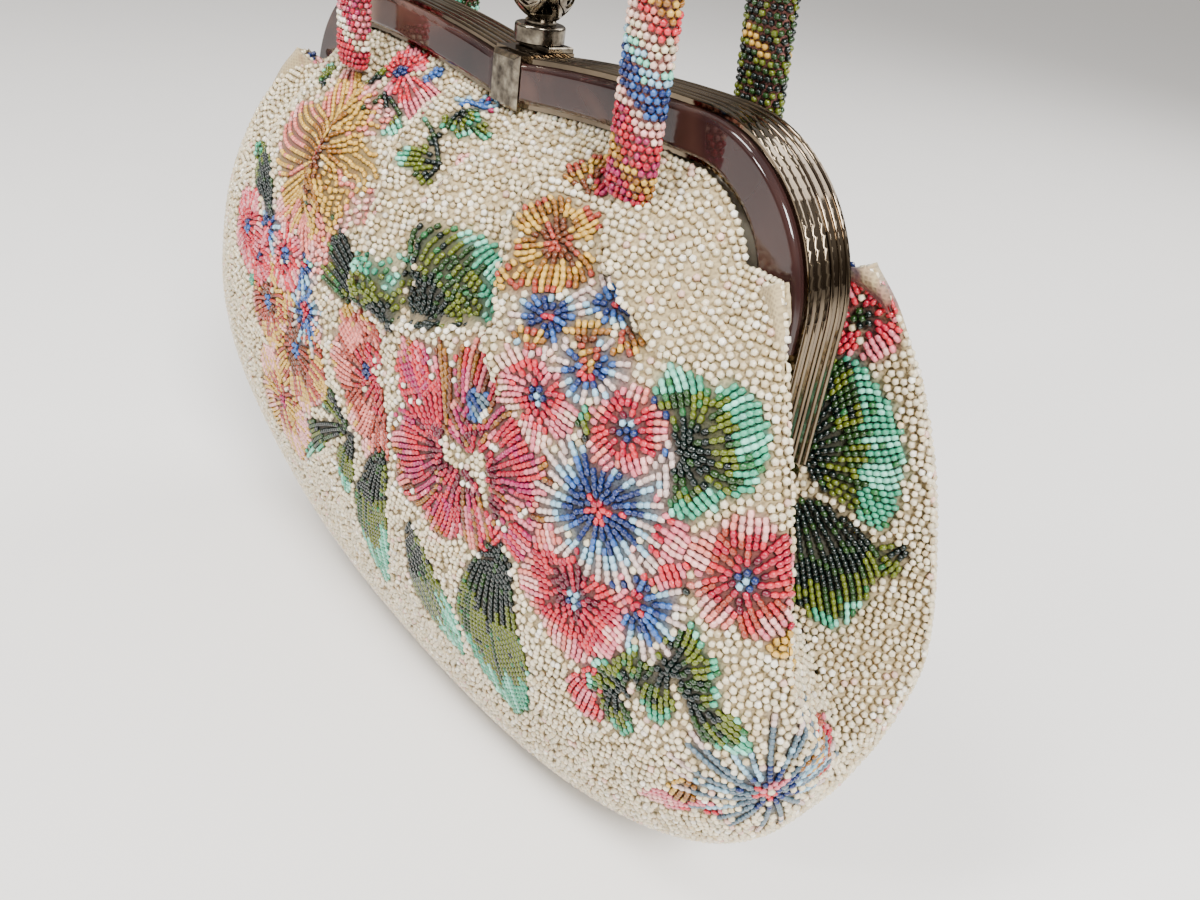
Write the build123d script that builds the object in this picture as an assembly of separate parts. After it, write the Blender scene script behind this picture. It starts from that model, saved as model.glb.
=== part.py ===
from build123d import *
import math
import os

os.makedirs("parts", exist_ok=True)

# Beaded evening bag: two cloth halves hung in a hinged metal frame that is closed by a turn lock.
# +Z is up, -Y is the front, X runs along the frame. The origin is under the middle of the bag,
# on the surface that it stands on. All lengths are in millimetres.

# Driving sizes of the frame
frame_half_width = 95.0
frame_seat_height = 175.0
half_depth = 6.0
parting_gap = 0.15
wall = 1.2
hump_rise = 4.8
shoulder_radius = 33.0
face_height = 10.8
leg_face_width = 12.5
leg_end_width = 7.6
pin_drop = 61.0
trim_bead = 0.5

# Inlay strips
inlay_thickness = 2.6
inlay_seat = 0.7
inlay_margin = 1.1
inlay_round = 1.3
inlay_leg_end = 32.0
inlay_fit = 0.05

# Clasp, collar, knob and lock
clasp_width = 10.0
clasp_stand_out = 2.6
plate_thickness = 1.2
plate_width = 12.6
collar_radius = 5.8
collar_height = 4.0
spindle_radius = 1.5
turning_fit = 0.05
knob_neck = 3.4
lobe_height = 15.0
lobe_width = 10.4
lobe_rim = 1.1
cam_radius = 3.8
cam_thickness = 1.2
keeper_radius = 0.7
keeper_place = 2.5
keeper_room = 0.3
washer_radius = 1.8
washer_thickness = 0.8

# Hinges at the leg ends
pin_radius = 1.1
ear_radius = 4.2
ear_gap = 0.3
pin_head_radius = 2.5
pin_head_thickness = 0.9
pin_head_gap = 0.05

# Cloth halves and lining
cloth_thickness = 2.0
lining_thickness = 0.6
lining_clearance = 0.6
cloth_tolerance = 0.6
lining_tolerance = 0.3
lining_slack = 3.0
seam_gap = 0.15
bag_half_width = 127.0
bag_half_depth = 43.0
foot_depth = 0.8
frame_clearance = 0.3

# The tuck of each half: how far the cloth stands out below it and dips above it
tuck_step = 2.4
tuck_dip = 1.4
tuck_blend = 3.0

# Handles
strap_width = 11.5
strap_thickness = 4.6
strap_half_span = 55.0
strap_rise = 122.0
strap_foot_drop = 14.6
front_strap_place = 16.4
rear_strap_place = 17.4
rear_strap_lean = 5.5

# Cords that hold the cloth in the frame's channel
channel_cord_radius = 0.8
channel_cord_stop = 16.0

# Values worked out from the sizes above
seat_z = frame_seat_height
shoulder_x = frame_half_width - shoulder_radius
hump_z = seat_z + hump_rise
shoulder_z = hump_z - shoulder_radius
leg_x = shoulder_x + shoulder_radius
pin_z = seat_z - pin_drop
leg_end_z = pin_z + 2.8
inner_hump_z = hump_z - face_height
inner_radius = leg_x - leg_face_width - shoulder_x
inner_shoulder_z = inner_hump_z - inner_radius
inner_leg_end_x = leg_x - leg_end_width
pin_length = 2 * wall + ear_gap + 1.4
lining_inset = cloth_thickness + lining_clearance


def export(shape, name):
    """Writes one node."""
    shape.label = name
    export_step(shape, f"parts/{name}.step")


def arch_height(x, z_to, rise):
    """Height of that arc at x."""
    radius = (shoulder_x ** 2 + rise ** 2) / (2 * rise)
    return z_to - radius + math.sqrt(radius ** 2 - (shoulder_x - abs(x)) ** 2)


def half_outline(inset):
    """Right half of the frame's face as a closed sketch on the XZ plane, drawn inset from its rim."""
    diagonal = math.sqrt(0.5)
    outer = shoulder_radius - inset
    seat = arch_height(0, hump_z, hump_rise) - inset
    hump = hump_z - inset
    x_out = leg_x - inset
    x_in = inner_leg_end_x + inset
    inner_r = inner_radius + inset
    low_hump = inner_hump_z + inset
    low_seat = arch_height(0, inner_hump_z, hump_rise) + inset
    mid_out = (shoulder_x / 2, arch_height(shoulder_x / 2, hump_z, hump_rise) - inset)
    mid_in = (shoulder_x / 2, arch_height(shoulder_x / 2, inner_hump_z, hump_rise) + inset)
    with BuildLine(Plane.XZ) as outline:
        ThreePointArc((0, seat), mid_out, (shoulder_x, hump))
        ThreePointArc(
            (shoulder_x, hump),
            (shoulder_x + outer * diagonal, shoulder_z + outer * diagonal),
            (x_out, shoulder_z),
        )
        Polyline((x_out, shoulder_z), (x_out, leg_end_z), (x_in, leg_end_z),
                 (shoulder_x + inner_r, inner_shoulder_z))
        ThreePointArc(
            (shoulder_x + inner_r, inner_shoulder_z),
            (shoulder_x + inner_r * diagonal, inner_shoulder_z + inner_r * diagonal),
            (shoulder_x, low_hump),
        )
        ThreePointArc((shoulder_x, low_hump), mid_in, (0, low_seat))
        Line((0, low_seat), (0, seat))
    return make_face(outline.wires()[0])


def slab(face, y_from, y_to):
    """Solid of a face on the XZ plane between two places in Y."""
    return Pos(0, y_from, 0) * extrude(face, y_to - y_from, dir=(0, 1, 0))


def both_sides(solid):
    """A right-hand solid joined to its mirror image."""
    return solid + mirror(solid, about=Plane.YZ)


def y_box(x0, x1, y0, y1, z0, z1):
    """Box between two corners."""
    return Pos((x0 + x1) / 2, (y0 + y1) / 2, (z0 + z1) / 2) * Box(x1 - x0, y1 - y0, z1 - z0)


def x_cylinder(radius, x0, x1, y, z):
    """Cylinder along X."""
    return Pos((x0 + x1) / 2, y, z) * Rot(0, 90, 0) * Cylinder(radius, x1 - x0)


def rim_wire(inset):
    """Outer edge of the frame's right half from the leg end to the hump, at y = 0."""
    diagonal = math.sqrt(0.5)
    outer = shoulder_radius - inset
    return Wire([
        Edge.make_line((leg_x - inset, 0, leg_end_z), (leg_x - inset, 0, shoulder_z)),
        Edge.make_three_point_arc(
            (leg_x - inset, 0, shoulder_z),
            (shoulder_x + outer * diagonal, 0, shoulder_z + outer * diagonal),
            (shoulder_x, 0, hump_z - inset),
        ),
    ])


def rim_bead(y, inset, radius):
    """Half-round trim line that runs along the rim, without its run at the clasp."""
    seat = (0, 0, arch_height(0, hump_z, hump_rise) - inset)
    mid = (shoulder_x / 2, 0, arch_height(shoulder_x / 2, hump_z, hump_rise) - inset)
    edges = list(rim_wire(inset).edges())
    edges.append(Edge.make_three_point_arc((shoulder_x, 0, hump_z - inset), mid, seat))
    path = Wire(edges).moved(Pos(0, y, 0))
    start = (leg_x - inset, y, leg_end_z)
    profile = Plane(origin=start, z_dir=(0, 0, 1)) * Circle(radius)
    return sweep(profile, path=path)


# Frame halves: a face plate, a rim and an ear at each leg end
def frame_half(side):
    """One half of the frame. side is -1 for the front and +1 for the rear."""
    outline = half_outline(0)
    inner = half_outline(wall)
    face_y = side * half_depth
    body = slab(outline, face_y, face_y - side * wall)
    rim = slab(outline, face_y, side * parting_gap)
    hollow = slab(inner, face_y - side * wall, 0)
    lip_room = slab(lip_sketch(), face_y - side * wall, 0)
    body = body + (rim - hollow - lip_room)
    body = body + rim_bead(side * (half_depth - 0.9), 0.1, trim_bead)
    body = body + rim_bead(side * (half_depth - 3.0), 0.1, trim_bead)
    body = body + rim_bead(side * (parting_gap + trim_bead + 0.05), 0.1, trim_bead)
    body = body - slab(inlay_sketch(inlay_margin - inlay_fit), face_y, face_y - side * inlay_seat)
    # hinge ears: the front ear lies in the rim's own layer, the rear ear inside it
    outer_face = leg_x
    if side < 0:
        ear_x1 = outer_face
    else:
        ear_x1 = outer_face - wall - ear_gap
    ear_x0 = ear_x1 - wall
    room = x_cylinder(ear_radius + ear_gap, outer_face - wall - ear_gap, outer_face + 2, 0, pin_z)
    neck_top = pin_z + 12.0
    ear = x_cylinder(ear_radius, ear_x0, ear_x1, 0, pin_z)
    neck_y = sorted((side * parting_gap, side * ear_radius))
    neck = y_box(ear_x0, ear_x1, neck_y[0], neck_y[1], pin_z, neck_top)
    if side > 0:
        body = body - room
        joggle_z = pin_z + ear_radius + 2 * ear_gap
        neck = neck + y_box(ear_x0, outer_face - wall / 2, neck_y[0], neck_y[1], joggle_z, neck_top)
    else:
        inner_room = x_cylinder(
            ear_radius + ear_gap, leg_x - 2 * wall - 2 * ear_gap, leg_x - wall, 0, pin_z
        )
        body = body - inner_room
    body = body + ear + neck
    bore = x_cylinder(pin_radius + turning_fit, leg_x - 4 * wall, leg_x + wall, 0, pin_z)
    body = body - bore
    body = both_sides(body)
    # flat seat under the clasp plate, with room for the spindle
    seat_half = plate_width / 2 + 0.4
    pad_top = seat_z + (2.0 if side > 0 else 2.0 - ear_gap)
    y_pair = sorted((face_y, side * parting_gap))
    pad = y_box(-seat_half, seat_half, y_pair[0], y_pair[1], seat_z - wall, pad_top)
    body = body + pad
    body = body - Pos(0, lock_y, seat_z) * Cylinder(spindle_radius + 0.3, 12)
    return body


def lip_sketch():
    """Strip along the inner edge where the channel is open to take the cloth."""
    diagonal = math.sqrt(0.5)
    r = inner_radius
    low_seat = arch_height(0, inner_hump_z, hump_rise)
    mid_z = arch_height(shoulder_x / 2, inner_hump_z, hump_rise)
    d = wall + 0.6
    with BuildLine(Plane.XZ) as outline:
        ThreePointArc((-1, low_seat - 1), (shoulder_x / 2, mid_z - 1), (shoulder_x, inner_hump_z - 1))
        ThreePointArc(
            (shoulder_x, inner_hump_z - 1),
            (shoulder_x + (r - 1) * diagonal, inner_shoulder_z + (r - 1) * diagonal),
            (shoulder_x + r - 1, inner_shoulder_z),
        )
        Polyline(
            (shoulder_x + r - 1, inner_shoulder_z),
            (inner_leg_end_x - 1, leg_end_z - 1),
            (inner_leg_end_x + d, leg_end_z - 1),
            (shoulder_x + r + d, inner_shoulder_z),
        )
        ThreePointArc(
            (shoulder_x + r + d, inner_shoulder_z),
            (shoulder_x + (r + d) * diagonal, inner_shoulder_z + (r + d) * diagonal),
            (shoulder_x, inner_hump_z + d),
        )
        ThreePointArc((shoulder_x, inner_hump_z + d), (shoulder_x / 2, mid_z + d), (-1, low_seat + d))
        Line((-1, low_seat + d), (-1, low_seat - 1))
    return make_face(outline.wires()[0])


# Inlay strips: crowned bars that lie in a shallow seat of each face
def inlay_sketch(margin):
    """Face of the right inlay, held in from the clasp and cut off on the leg."""
    strip = half_outline(margin)
    keep_x0 = clasp_width / 2 + margin - inlay_margin + inlay_fit
    keep = Plane.XZ * Pos(keep_x0 + leg_x, seat_z) * Rectangle(2 * leg_x, 2 * inlay_leg_end)
    return strip & keep


def inlay(side, hand):
    """One inlay. side is -1 for the front face, hand is +1 for the right."""
    face_y = side * (half_depth - inlay_seat)
    bar = slab(inlay_sketch(inlay_margin), face_y, face_y + side * inlay_thickness)
    crown_y = face_y + side * inlay_thickness
    rim_edges = [e for e in bar.edges() if abs(e.center().Y - crown_y) < 0.01]
    bar = fillet(rim_edges, inlay_round)
    if hand < 0:
        bar = mirror(bar, about=Plane.YZ)
    return bar


# Clasp: a bar on the front face, a plate and a collar on the rear half
def clasp_bar():
    """Upright bar between the front inlays, bevelled all round its front."""
    low = arch_height(0, inner_hump_z, hump_rise)
    bar = y_box(-clasp_width / 2, clasp_width / 2, -half_depth - clasp_stand_out, -half_depth, low, seat_z + 1.2)
    front = [e for e in bar.edges() if abs(e.center().Y + half_depth + clasp_stand_out) < 0.01]
    return chamfer(front, 1.0)


def clasp_plate():
    """Plate on the rear half's seat, pierced for the spindle."""
    plate = y_box(-plate_width / 2, plate_width / 2, -1.0, half_depth, plate_z, plate_z + plate_thickness)
    plate = chamfer(plate.faces().sort_by(Axis.Z)[-1].edges(), 0.25)
    return plate - Pos(0, lock_y, plate_z) * Cylinder(spindle_radius + turning_fit, 6)


def clasp_collar():
    """Turned collar round the spindle."""
    r = collar_radius
    h = collar_height
    bore = spindle_radius + turning_fit
    with BuildLine(Plane.XZ) as section:
        Polyline((bore, 0), (r - 0.3, 0), (r, 0.3), (r, h - 0.7))
        ThreePointArc((r, h - 0.7), (r - 0.2, h - 0.2), (r - 0.7, h))
        Polyline((r - 0.7, h), (bore, h), (bore, 0))
    ring = revolve(make_face(section.wires()[0]), Axis.Z)
    return Pos(0, lock_y, plate_z + plate_thickness) * ring


def bud_shell(grow, thickness):
    """Revolved shell of the bud, grown outwards by a given amount."""
    inner = grow - thickness
    (r0, h0), (r1, h1), (r2, h2) = bud_profile
    with BuildLine(Plane.XZ) as section:
        ThreePointArc((r0 + grow, h0), (r1 + grow, h1), (r2 + grow, h2))
        Line((r2 + grow, h2), (r2 + inner, h2))
        ThreePointArc((r2 + inner, h2), (r1 + inner, h1), (r0 + inner, h0))
        Line((r0 + inner, h0), (r0 + grow, h0))
    return revolve(make_face(section.wires()[0]), Axis.Z)


def petal_sketch(inset):
    """Pointed petal outline, drawn in from its edge by inset."""
    half = lobe_width / 2 - inset
    foot = 0.3 + 1.8 * inset
    wide = lobe_height * 0.6
    top = lobe_height + 0.4 - 1.2 * inset
    with BuildLine(Plane.XZ) as outline:
        Line((0, foot), (half * 0.72, lobe_height * 0.3))
        ThreePointArc((half * 0.72, lobe_height * 0.3), (half, wide), (half * 0.62, lobe_height * 0.86))
        Line((half * 0.62, lobe_height * 0.86), (0, top))
        Line((0, top), (-half * 0.62, lobe_height * 0.86))
        ThreePointArc((-half * 0.62, lobe_height * 0.86), (-half, wide), (-half * 0.72, lobe_height * 0.3))
        Line((-half * 0.72, lobe_height * 0.3), (0, foot))
    return make_face(outline.wires()[0])


def heart_sketch(size, height):
    """Small heart, point down, centred at a height."""
    s = size
    with BuildLine(Plane.XZ) as outline:
        Line((0, height - s), (s * 0.9, height + s * 0.15))
        ThreePointArc((s * 0.9, height + s * 0.15), (s * 0.55, height + s * 0.8), (0, height + s * 0.35))
        ThreePointArc((0, height + s * 0.35), (-s * 0.55, height + s * 0.8), (-s * 0.9, height + s * 0.15))
        Line((-s * 0.9, height + s * 0.15), (0, height - s))
    return make_face(outline.wires()[0])


def ring_sketch(x, height, radius, width):
    """Round scroll of the filigree."""
    ring = Circle(radius) - Circle(radius - width)
    return Plane.XZ * Pos(x, height) * ring


def clasp_knob():
    """Pierced bud of four petals on a waist, with the spindle that turns the lock."""
    shell = bud_shell(0, lobe_rim)
    ridge = bud_shell(0.45, lobe_rim)
    reach = 12.0
    pierced = petal_sketch(0) - heart_sketch(1.5, lobe_height * 0.56)
    for x, h in ((-2.2, 0.72), (2.2, 0.72), (0, 0.82), (0, 0.34)):
        pierced -= Plane.XZ * Pos(x, lobe_height * h) * Circle(0.75)
    lines = petal_sketch(0) - petal_sketch(0.7)
    lines += petal_sketch(1.25) - petal_sketch(1.75)
    heart_line = heart_sketch(2.3, lobe_height * 0.56) - heart_sketch(1.75, lobe_height * 0.56)
    lines += heart_line
    for x in (-2.2, 2.2):
        lines += ring_sketch(x, lobe_height * 0.72, 1.15, 0.4)
    petal = (shell & slab(pierced, -reach, 0)) + (ridge & slab(lines, -reach, 0))
    petals = petal
    for turn in (90, 180, 270):
        petals = petals + Rot(0, 0, turn) * petal
    with BuildLine(Plane.XZ) as section:
        Polyline((0, -0.5), (knob_neck + 0.2, -0.5), (knob_neck + 0.2, 0.0), (knob_neck - 0.3, 0.5))
        Polyline((knob_neck - 0.3, 0.5), (knob_neck + 0.4, 1.8), (knob_neck - 1.6, 3.4), (0, 3.4), (0, -0.5))
    waist = revolve(make_face(section.wires()[0]), Axis.Z)
    finial = Pos(0, 0, lobe_height - 0.3) * Sphere(2.2)
    tip = Pos(0, 0, lobe_height + 2.2) * Sphere(0.9)
    bud = petals + waist + finial + tip
    foot_z = plate_z + plate_thickness + collar_height + 0.6
    bud = Pos(0, lock_y, foot_z) * Rot(0, 0, knob_turn) * bud
    spindle_low = cam_top_z - cam_thickness - washer_thickness - 0.3
    spindle = Pos(0, lock_y, (spindle_low + foot_z) / 2) * Cylinder(spindle_radius, foot_z - spindle_low)
    return bud + spindle


def lock_cam():
    """Disc under the frame's top: a curved slot takes the keeper post and holds it when it turns."""
    disc = Pos(0, lock_y, cam_top_z - cam_thickness / 2) * Cylinder(cam_radius, cam_thickness)
    half = keeper_radius + keeper_room
    band = Circle(keeper_place + half) - Circle(keeper_place - half)
    quarter = Pos(-cam_radius, -cam_radius) * Rectangle(2 * cam_radius, 2 * cam_radius)
    slot = band & quarter
    slot += Pos(-keeper_place, 0) * Circle(half)
    slot += Pos(0, -keeper_place) * Circle(half)
    slot += Pos(0, -keeper_place - cam_radius / 2) * Rectangle(2 * half, cam_radius)
    cut = Pos(0, lock_y, cam_top_z - 2 * cam_thickness) * extrude(slot, 4 * cam_thickness)
    return disc - cut - Pos(0, lock_y, cam_top_z) * Cylinder(spindle_radius, 4 * cam_thickness)


def cam_washer():
    """Riveted washer that holds the cam on its spindle."""
    ring = Circle(washer_radius) - Circle(spindle_radius)
    low = cam_top_z - cam_thickness - washer_thickness
    return Pos(0, lock_y, low) * extrude(ring, washer_thickness)


def keeper_post():
    """Post that hangs from the front half's top wall into the cam's slot."""
    low = cam_top_z - cam_thickness - 0.6
    high = seat_z - wall
    return Pos(0, lock_y - keeper_place, (low + high) / 2) * Cylinder(keeper_radius, high - low)


# Hinge pins: a domed head outside the ears and a riveted washer inside them
def hinge_pin(hand):
    """Pin with its rounded head. hand is +1 for the right."""
    pin = x_cylinder(pin_radius, leg_x - pin_length, leg_x + pin_head_thickness / 2, 0, pin_z)
    head = x_cylinder(pin_head_radius, leg_x + pin_head_gap, leg_x + pin_head_thickness, 0, pin_z)
    outer_rim = head.edges().filter_by(GeomType.CIRCLE).sort_by(Axis.X)[-1]
    pin = pin + fillet(outer_rim, pin_head_thickness * 0.6)
    if hand < 0:
        pin = mirror(pin, about=Plane.YZ)
    return pin


def hinge_washer(hand):
    """Washer riveted on the inner end of the pin."""
    x1 = leg_x - 2 * wall - ear_gap - 0.1
    ring = x_cylinder(pin_head_radius, x1 - 0.9, x1, 0, pin_z)
    ring = ring - x_cylinder(pin_radius, x1 - 2, x1 + 1, 0, pin_z)
    if hand < 0:
        ring = mirror(ring, about=Plane.YZ)
    return ring


def channel_cord(side):
    """Two lengths of paper cord that press the cloth into the channel of one frame half."""
    inset = wall + channel_cord_radius + 0.1
    y = side * (half_depth - wall - channel_cord_radius - 0.1)
    stop_x = plate_width / 2 + 3.0
    radius = (shoulder_x ** 2 + hump_rise ** 2) / (2 * hump_rise)
    stop_z = hump_z - radius + math.sqrt(radius ** 2 - (shoulder_x - stop_x) ** 2) - inset
    mid_x = (shoulder_x + stop_x) / 2
    mid_z = hump_z - radius + math.sqrt(radius ** 2 - (shoulder_x - mid_x) ** 2) - inset
    edges = list(rim_wire(inset).edges())
    hump = (shoulder_x, 0, hump_z - inset)
    edges.append(Edge.make_three_point_arc(hump, (mid_x, 0, mid_z), (stop_x, 0, stop_z)))
    path = Wire(edges).moved(Pos(0, y, 0))
    start = Plane(origin=(leg_x - inset, y, leg_end_z), z_dir=(0, 0, 1))
    cord = sweep(start * Circle(channel_cord_radius), path=path)
    above = y_box(0, 2 * leg_x, -leg_x, leg_x, pin_z + channel_cord_stop, 2 * seat_z)
    cord = cord & above
    return Compound([*cord.solids(), *mirror(cord, about=Plane.YZ).solids()])


# Handles: padded straps bent into a tall loop, each end sewn to its cloth half
def handle(side, place, lean, cloth_half):
    """One handle. side is -1 for the front, lean turns its top towards the other handle."""
    foot_z = seat_z - strap_foot_drop
    arch_z = seat_z + strap_rise - strap_half_span
    path = Wire([
        Edge.make_line((strap_half_span, 0, foot_z), (strap_half_span, 0, arch_z)),
        Edge.make_three_point_arc(
            (strap_half_span, 0, arch_z), (0, 0, arch_z + strap_half_span), (-strap_half_span, 0, arch_z)
        ),
        Edge.make_line((-strap_half_span, 0, arch_z), (-strap_half_span, 0, foot_z)),
    ])
    section = RectangleRounded(strap_width, strap_thickness, strap_thickness / 2 - 0.1)
    profile = Plane(origin=(strap_half_span, 0, foot_z), x_dir=(1, 0, 0), z_dir=(0, 0, 1)) * section
    loop = sweep(profile, path=path)
    loop = Pos(0, 0, -foot_z) * loop
    loop = Pos(0, side * place, foot_z) * Rot(side * lean, 0, 0) * loop
    return loop - cloth_half


# Cloth: every half is a closed sheet between an outer and an inner surface
def follow(points, t):
    """Point at t (0 to 1) on a smooth curve through evenly numbered points."""
    count = len(points) - 1
    place = min(max(t, 0.0), 1.0) * count
    i = min(int(place), count - 1)
    f = place - i
    p = [points[max(i - 1, 0)], points[i], points[i + 1], points[min(i + 2, count)]]
    result = []
    for a, b, c, d in zip(*p):
        result.append(0.5 * (2 * b + (c - a) * f + (2 * a - 5 * b + 4 * c - d) * f ** 2
                             + (3 * b - a - 3 * c + d) * f ** 3))
    return result


def frame_edge_height(x):
    """Height of the cloth's top edge: under the frame's lower edge, then out over the leg."""
    x = abs(x)
    if x <= shoulder_x:
        return arch_height(x, inner_hump_z, hump_rise) - frame_clearance
    reach = x - shoulder_x
    bend = inner_radius * 0.93
    if reach <= bend:
        return inner_shoulder_z + math.sqrt(inner_radius ** 2 - reach ** 2) - frame_clearance
    low = inner_shoulder_z + math.sqrt(inner_radius ** 2 - bend ** 2) - frame_clearance
    share = (reach - bend) / (fold_line[0][0] - shoulder_x - bend)
    return low + (fold_line[0][2] - low) * share


def pleat_height(x, z):
    """How far the pleats and the tuck stand out at a place of the cloth."""
    lift = 0.0
    drop = seat_z - face_height - z
    for x_top, x_low, reach, height, width in pleats:
        run = drop / reach
        if run < 1.25:
            fade = min(1.0, 0.35 + 1.6 * max(run, 0.0)) * max(0.0, min(1.0, (1.25 - run) / 0.6))
            centre = x_top + (x_low - x_top) * run
            off = (x - centre) / width
            lift += height * fade * math.exp(-off * off)
    (x0, z0), (x1, z1) = tuck_ends
    along = (x - x0) / (x1 - x0)
    if 0 < along < 1:
        above = z - (z0 + (z1 - z0) * along)
        below_share = 0.5 - 0.5 * math.tanh(above / tuck_blend)
        stand_out = tuck_step * below_share * math.exp(min(above, 0.0) / 12.0)
        dip = tuck_dip * (1 - below_share) * math.exp(-max(above, 0.0) / 8.0)
        lift += math.sqrt(math.sin(math.pi * along)) * (stand_out - dip)
    return lift


def cloth_point(u, v, inset, side):
    """Point of a cloth half. u runs across from -1 to 1, v from the frame to the seam."""
    hand = 1 if u >= 0 else -1
    across = abs(u)
    ex, ey, ez = follow(fold_line, v)
    cy, cz = follow(centre_line, v)
    vx, vy, vz = follow(valley_line, v)
    bottom = max(0.0, v - 0.85) / 0.15
    ex = ex - 1.5 * inset
    ey = ey + 0.2 * inset * (1 - bottom)
    ez = ez + inset * bottom
    cy = cy + inset * (1 - bottom)
    cz = cz + inset * bottom
    vx = vx - 1.1 * inset
    vy = vy - 0.8 * inset * (1 - bottom)
    vz = vz + inset * bottom
    if across <= face_share:
        angle = math.pi / 2 * across / face_share
        sx = math.sin(angle) ** (2 / roundness)
        g = 1 - math.cos(angle) ** (2 / roundness) if across < face_share else 1.0
        x = ex * sx
        y = cy + (ey - cy) * g
        z = cz + (ez - cz) * g
        top = frame_edge_height(x) - (centre_line[0][1] + (fold_line[0][2] - centre_line[0][1]) * g)
        z += top * (1 - v) ** 4
        middle = math.cos(angle) ** 0.5 if across < face_share else 0.0
        y -= pleat_height(x * (1 if hand > 0 else -1), z) * min(1.0, middle * 1.5) * min(1.0, 8 * v)
    else:
        t = (across - face_share) / (1 - face_share)
        x = ex + (vx - ex) * t
        y = ey + (vy - ey) * t
        z = ez + (vz - ez) * t
    return Vector(hand * x, -side * y, z)


def lining_point(u, v, inset, side):
    """Point of a lining half, which hangs inside the side folds without following them."""
    hand = 1 if u >= 0 else -1
    angle = math.pi / 2 * abs(u)
    bottom = max(0.0, v - 0.85) / 0.15
    room = inset + lining_slack * min(1.0, 8 * v)
    cy, cz = follow(centre_line, v)
    vx, vy, vz = follow(valley_line, v)
    cy = min(-seam_gap, cy + room)
    cz = cz + room * bottom
    vx = vx - room
    vz = vz + room * bottom
    g = 1 - math.cos(angle) ** (2 / roundness) if abs(u) < 1 else 1.0
    x = vx * math.sin(angle) ** (2 / roundness)
    y = cy + (-seam_gap - cy) * g
    z = cz + (vz - cz) * g
    top = frame_edge_height(x) - (centre_line[0][1] + (valley_line[0][2] - centre_line[0][1]) * g)
    z += top * (1 - v) ** 4
    return Vector(hand * x, -side * y, z)


def sheet_solid(point, side, across, down, inset, thickness, tolerance):
    """Closed sheet between two insets of a half. point gives its places, across and down how many."""
    us = [-1 + 2 * i / (across - 1) for i in range(across)]
    vs = [i / (down - 1) for i in range(down)]
    skins = []
    for depth in (inset, inset + thickness):
        grid = [[point(u, v, depth, side) for v in vs] for u in us]
        skins.append(Face.make_surface_from_array_of_points(grid, tol=tolerance, min_deg=1, max_deg=3))
    walls = []
    outer_edges = skins[0].outer_wire().edges()
    inner_edges = skins[1].outer_wire().edges()
    for edge in outer_edges:
        mid = edge @ 0.5
        partner = min(inner_edges, key=lambda e: (e @ 0.5 - mid).length)
        if (edge @ 0 - partner @ 0).length > (edge @ 0 - partner @ 1).length:
            partner = Edge(partner.wrapped.Reversed())
        walls.append(Face.make_surface_from_curves(edge, partner))
    return Solid(Shell([skins[0], skins[1], *walls]))


def cloth(side):
    """Cloth half with the small flat that it stands on."""
    sheet = sheet_solid(cloth_point, side, columns, rows, 0.0, cloth_thickness, cloth_tolerance)
    return sheet & y_box(-2 * leg_x, 2 * leg_x, -2 * leg_x, 2 * leg_x, 0, 2 * seat_z)


def lining(side):
    """Lining half, a little inside the cloth."""
    return sheet_solid(
        lining_point, side, lining_columns, lining_rows, lining_inset, lining_thickness, lining_tolerance
    )


# Clasp heights worked out from the frame
lock_y = 0.8
knob_turn = 22.0
plate_z = seat_z + 2.0
cam_top_z = seat_z - wall - 0.4
bud_profile = [(3.3, 0.4), (6.9, 8.6), (1.6, lobe_height + 0.2)]

# Guide lines of the front cloth: the fold of its right side, the middle and the inner line of the
# side fold. Each has the same number of evenly spaced stations from the frame down to the seam.
columns = 49
rows = 25
lining_columns = 33
lining_rows = 15
face_share = 0.80
roundness = 2.4
fold_line = [
    (92.5, -13.0, seat_z - 18.0), (98.5, -15.5, seat_z - 25.0), (104.5, -18.0, seat_z - 35.5),
    (110.0, -19.5, seat_z - 47.0), (115.0, -20.8, seat_z - 59.0), (119.0, -21.6, seat_z - 70.5),
    (122.5, -22.0, seat_z - 81.5), (bag_half_width - 1.0, -19.0, seat_z - 92.0),
    (bag_half_width, -12.0, seat_z - 101.0), (bag_half_width - 1.0, -5.0, seat_z - 107.5),
    (bag_half_width - 2.0, -seam_gap, seat_z - 111.0),
]
centre_line = [
    (-5.2, seat_z - face_height - frame_clearance), (-14.5, seat_z - 17.5), (-27.5, seat_z - 29.5),
    (-36.5, seat_z - 44.5), (-41.5, seat_z - 61.5), (-bag_half_depth, seat_z - 80.0),
    (-42.6, seat_z - 99.0), (-40.0, seat_z - 118.0), (-35.0, seat_z - 136.5), (-27.0, 17.5), (-15.5, 1.0),
    (-seam_gap, -foot_depth),
]
valley_line = [
    (83.5, -8.4, seat_z - 22.5), (84.2, -8.3, seat_z - 30.0), (85.0, -7.4, seat_z - 38.5),
    (86.2, -6.9, seat_z - 48.0), (87.6, -6.2, seat_z - 57.5), (89.2, -3.4, seat_z - 66.0),
    (94.0, -1.0, seat_z - 75.0), (102.0, -0.4, seat_z - 83.5), (110.5, -0.3, seat_z - 91.5),
    (118.0, -0.2, seat_z - 99.5), (122.5, -seam_gap, seat_z - 106.5),
]
# Each pleat: x at the frame, x at its lower end, length down the cloth, height, half width
pleats = [
    (-46.0, -38.0, 46.0, 2.2, 5.0), (-18.0, 0.0, 46.0, 3.0, 5.0), (9.0, 16.0, 34.0, 2.4, 5.0),
    (24.0, 35.0, 24.0, -3.0, 3.5), (31.0, 50.0, 46.0, 3.6, 5.0), (52.0, 77.0, 26.0, -2.2, 5.0),
]
# Ends of the tuck as (x, z)
tuck_ends = ((6.0, seat_z - 54.5), (56.0, seat_z - 38.0))


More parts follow.
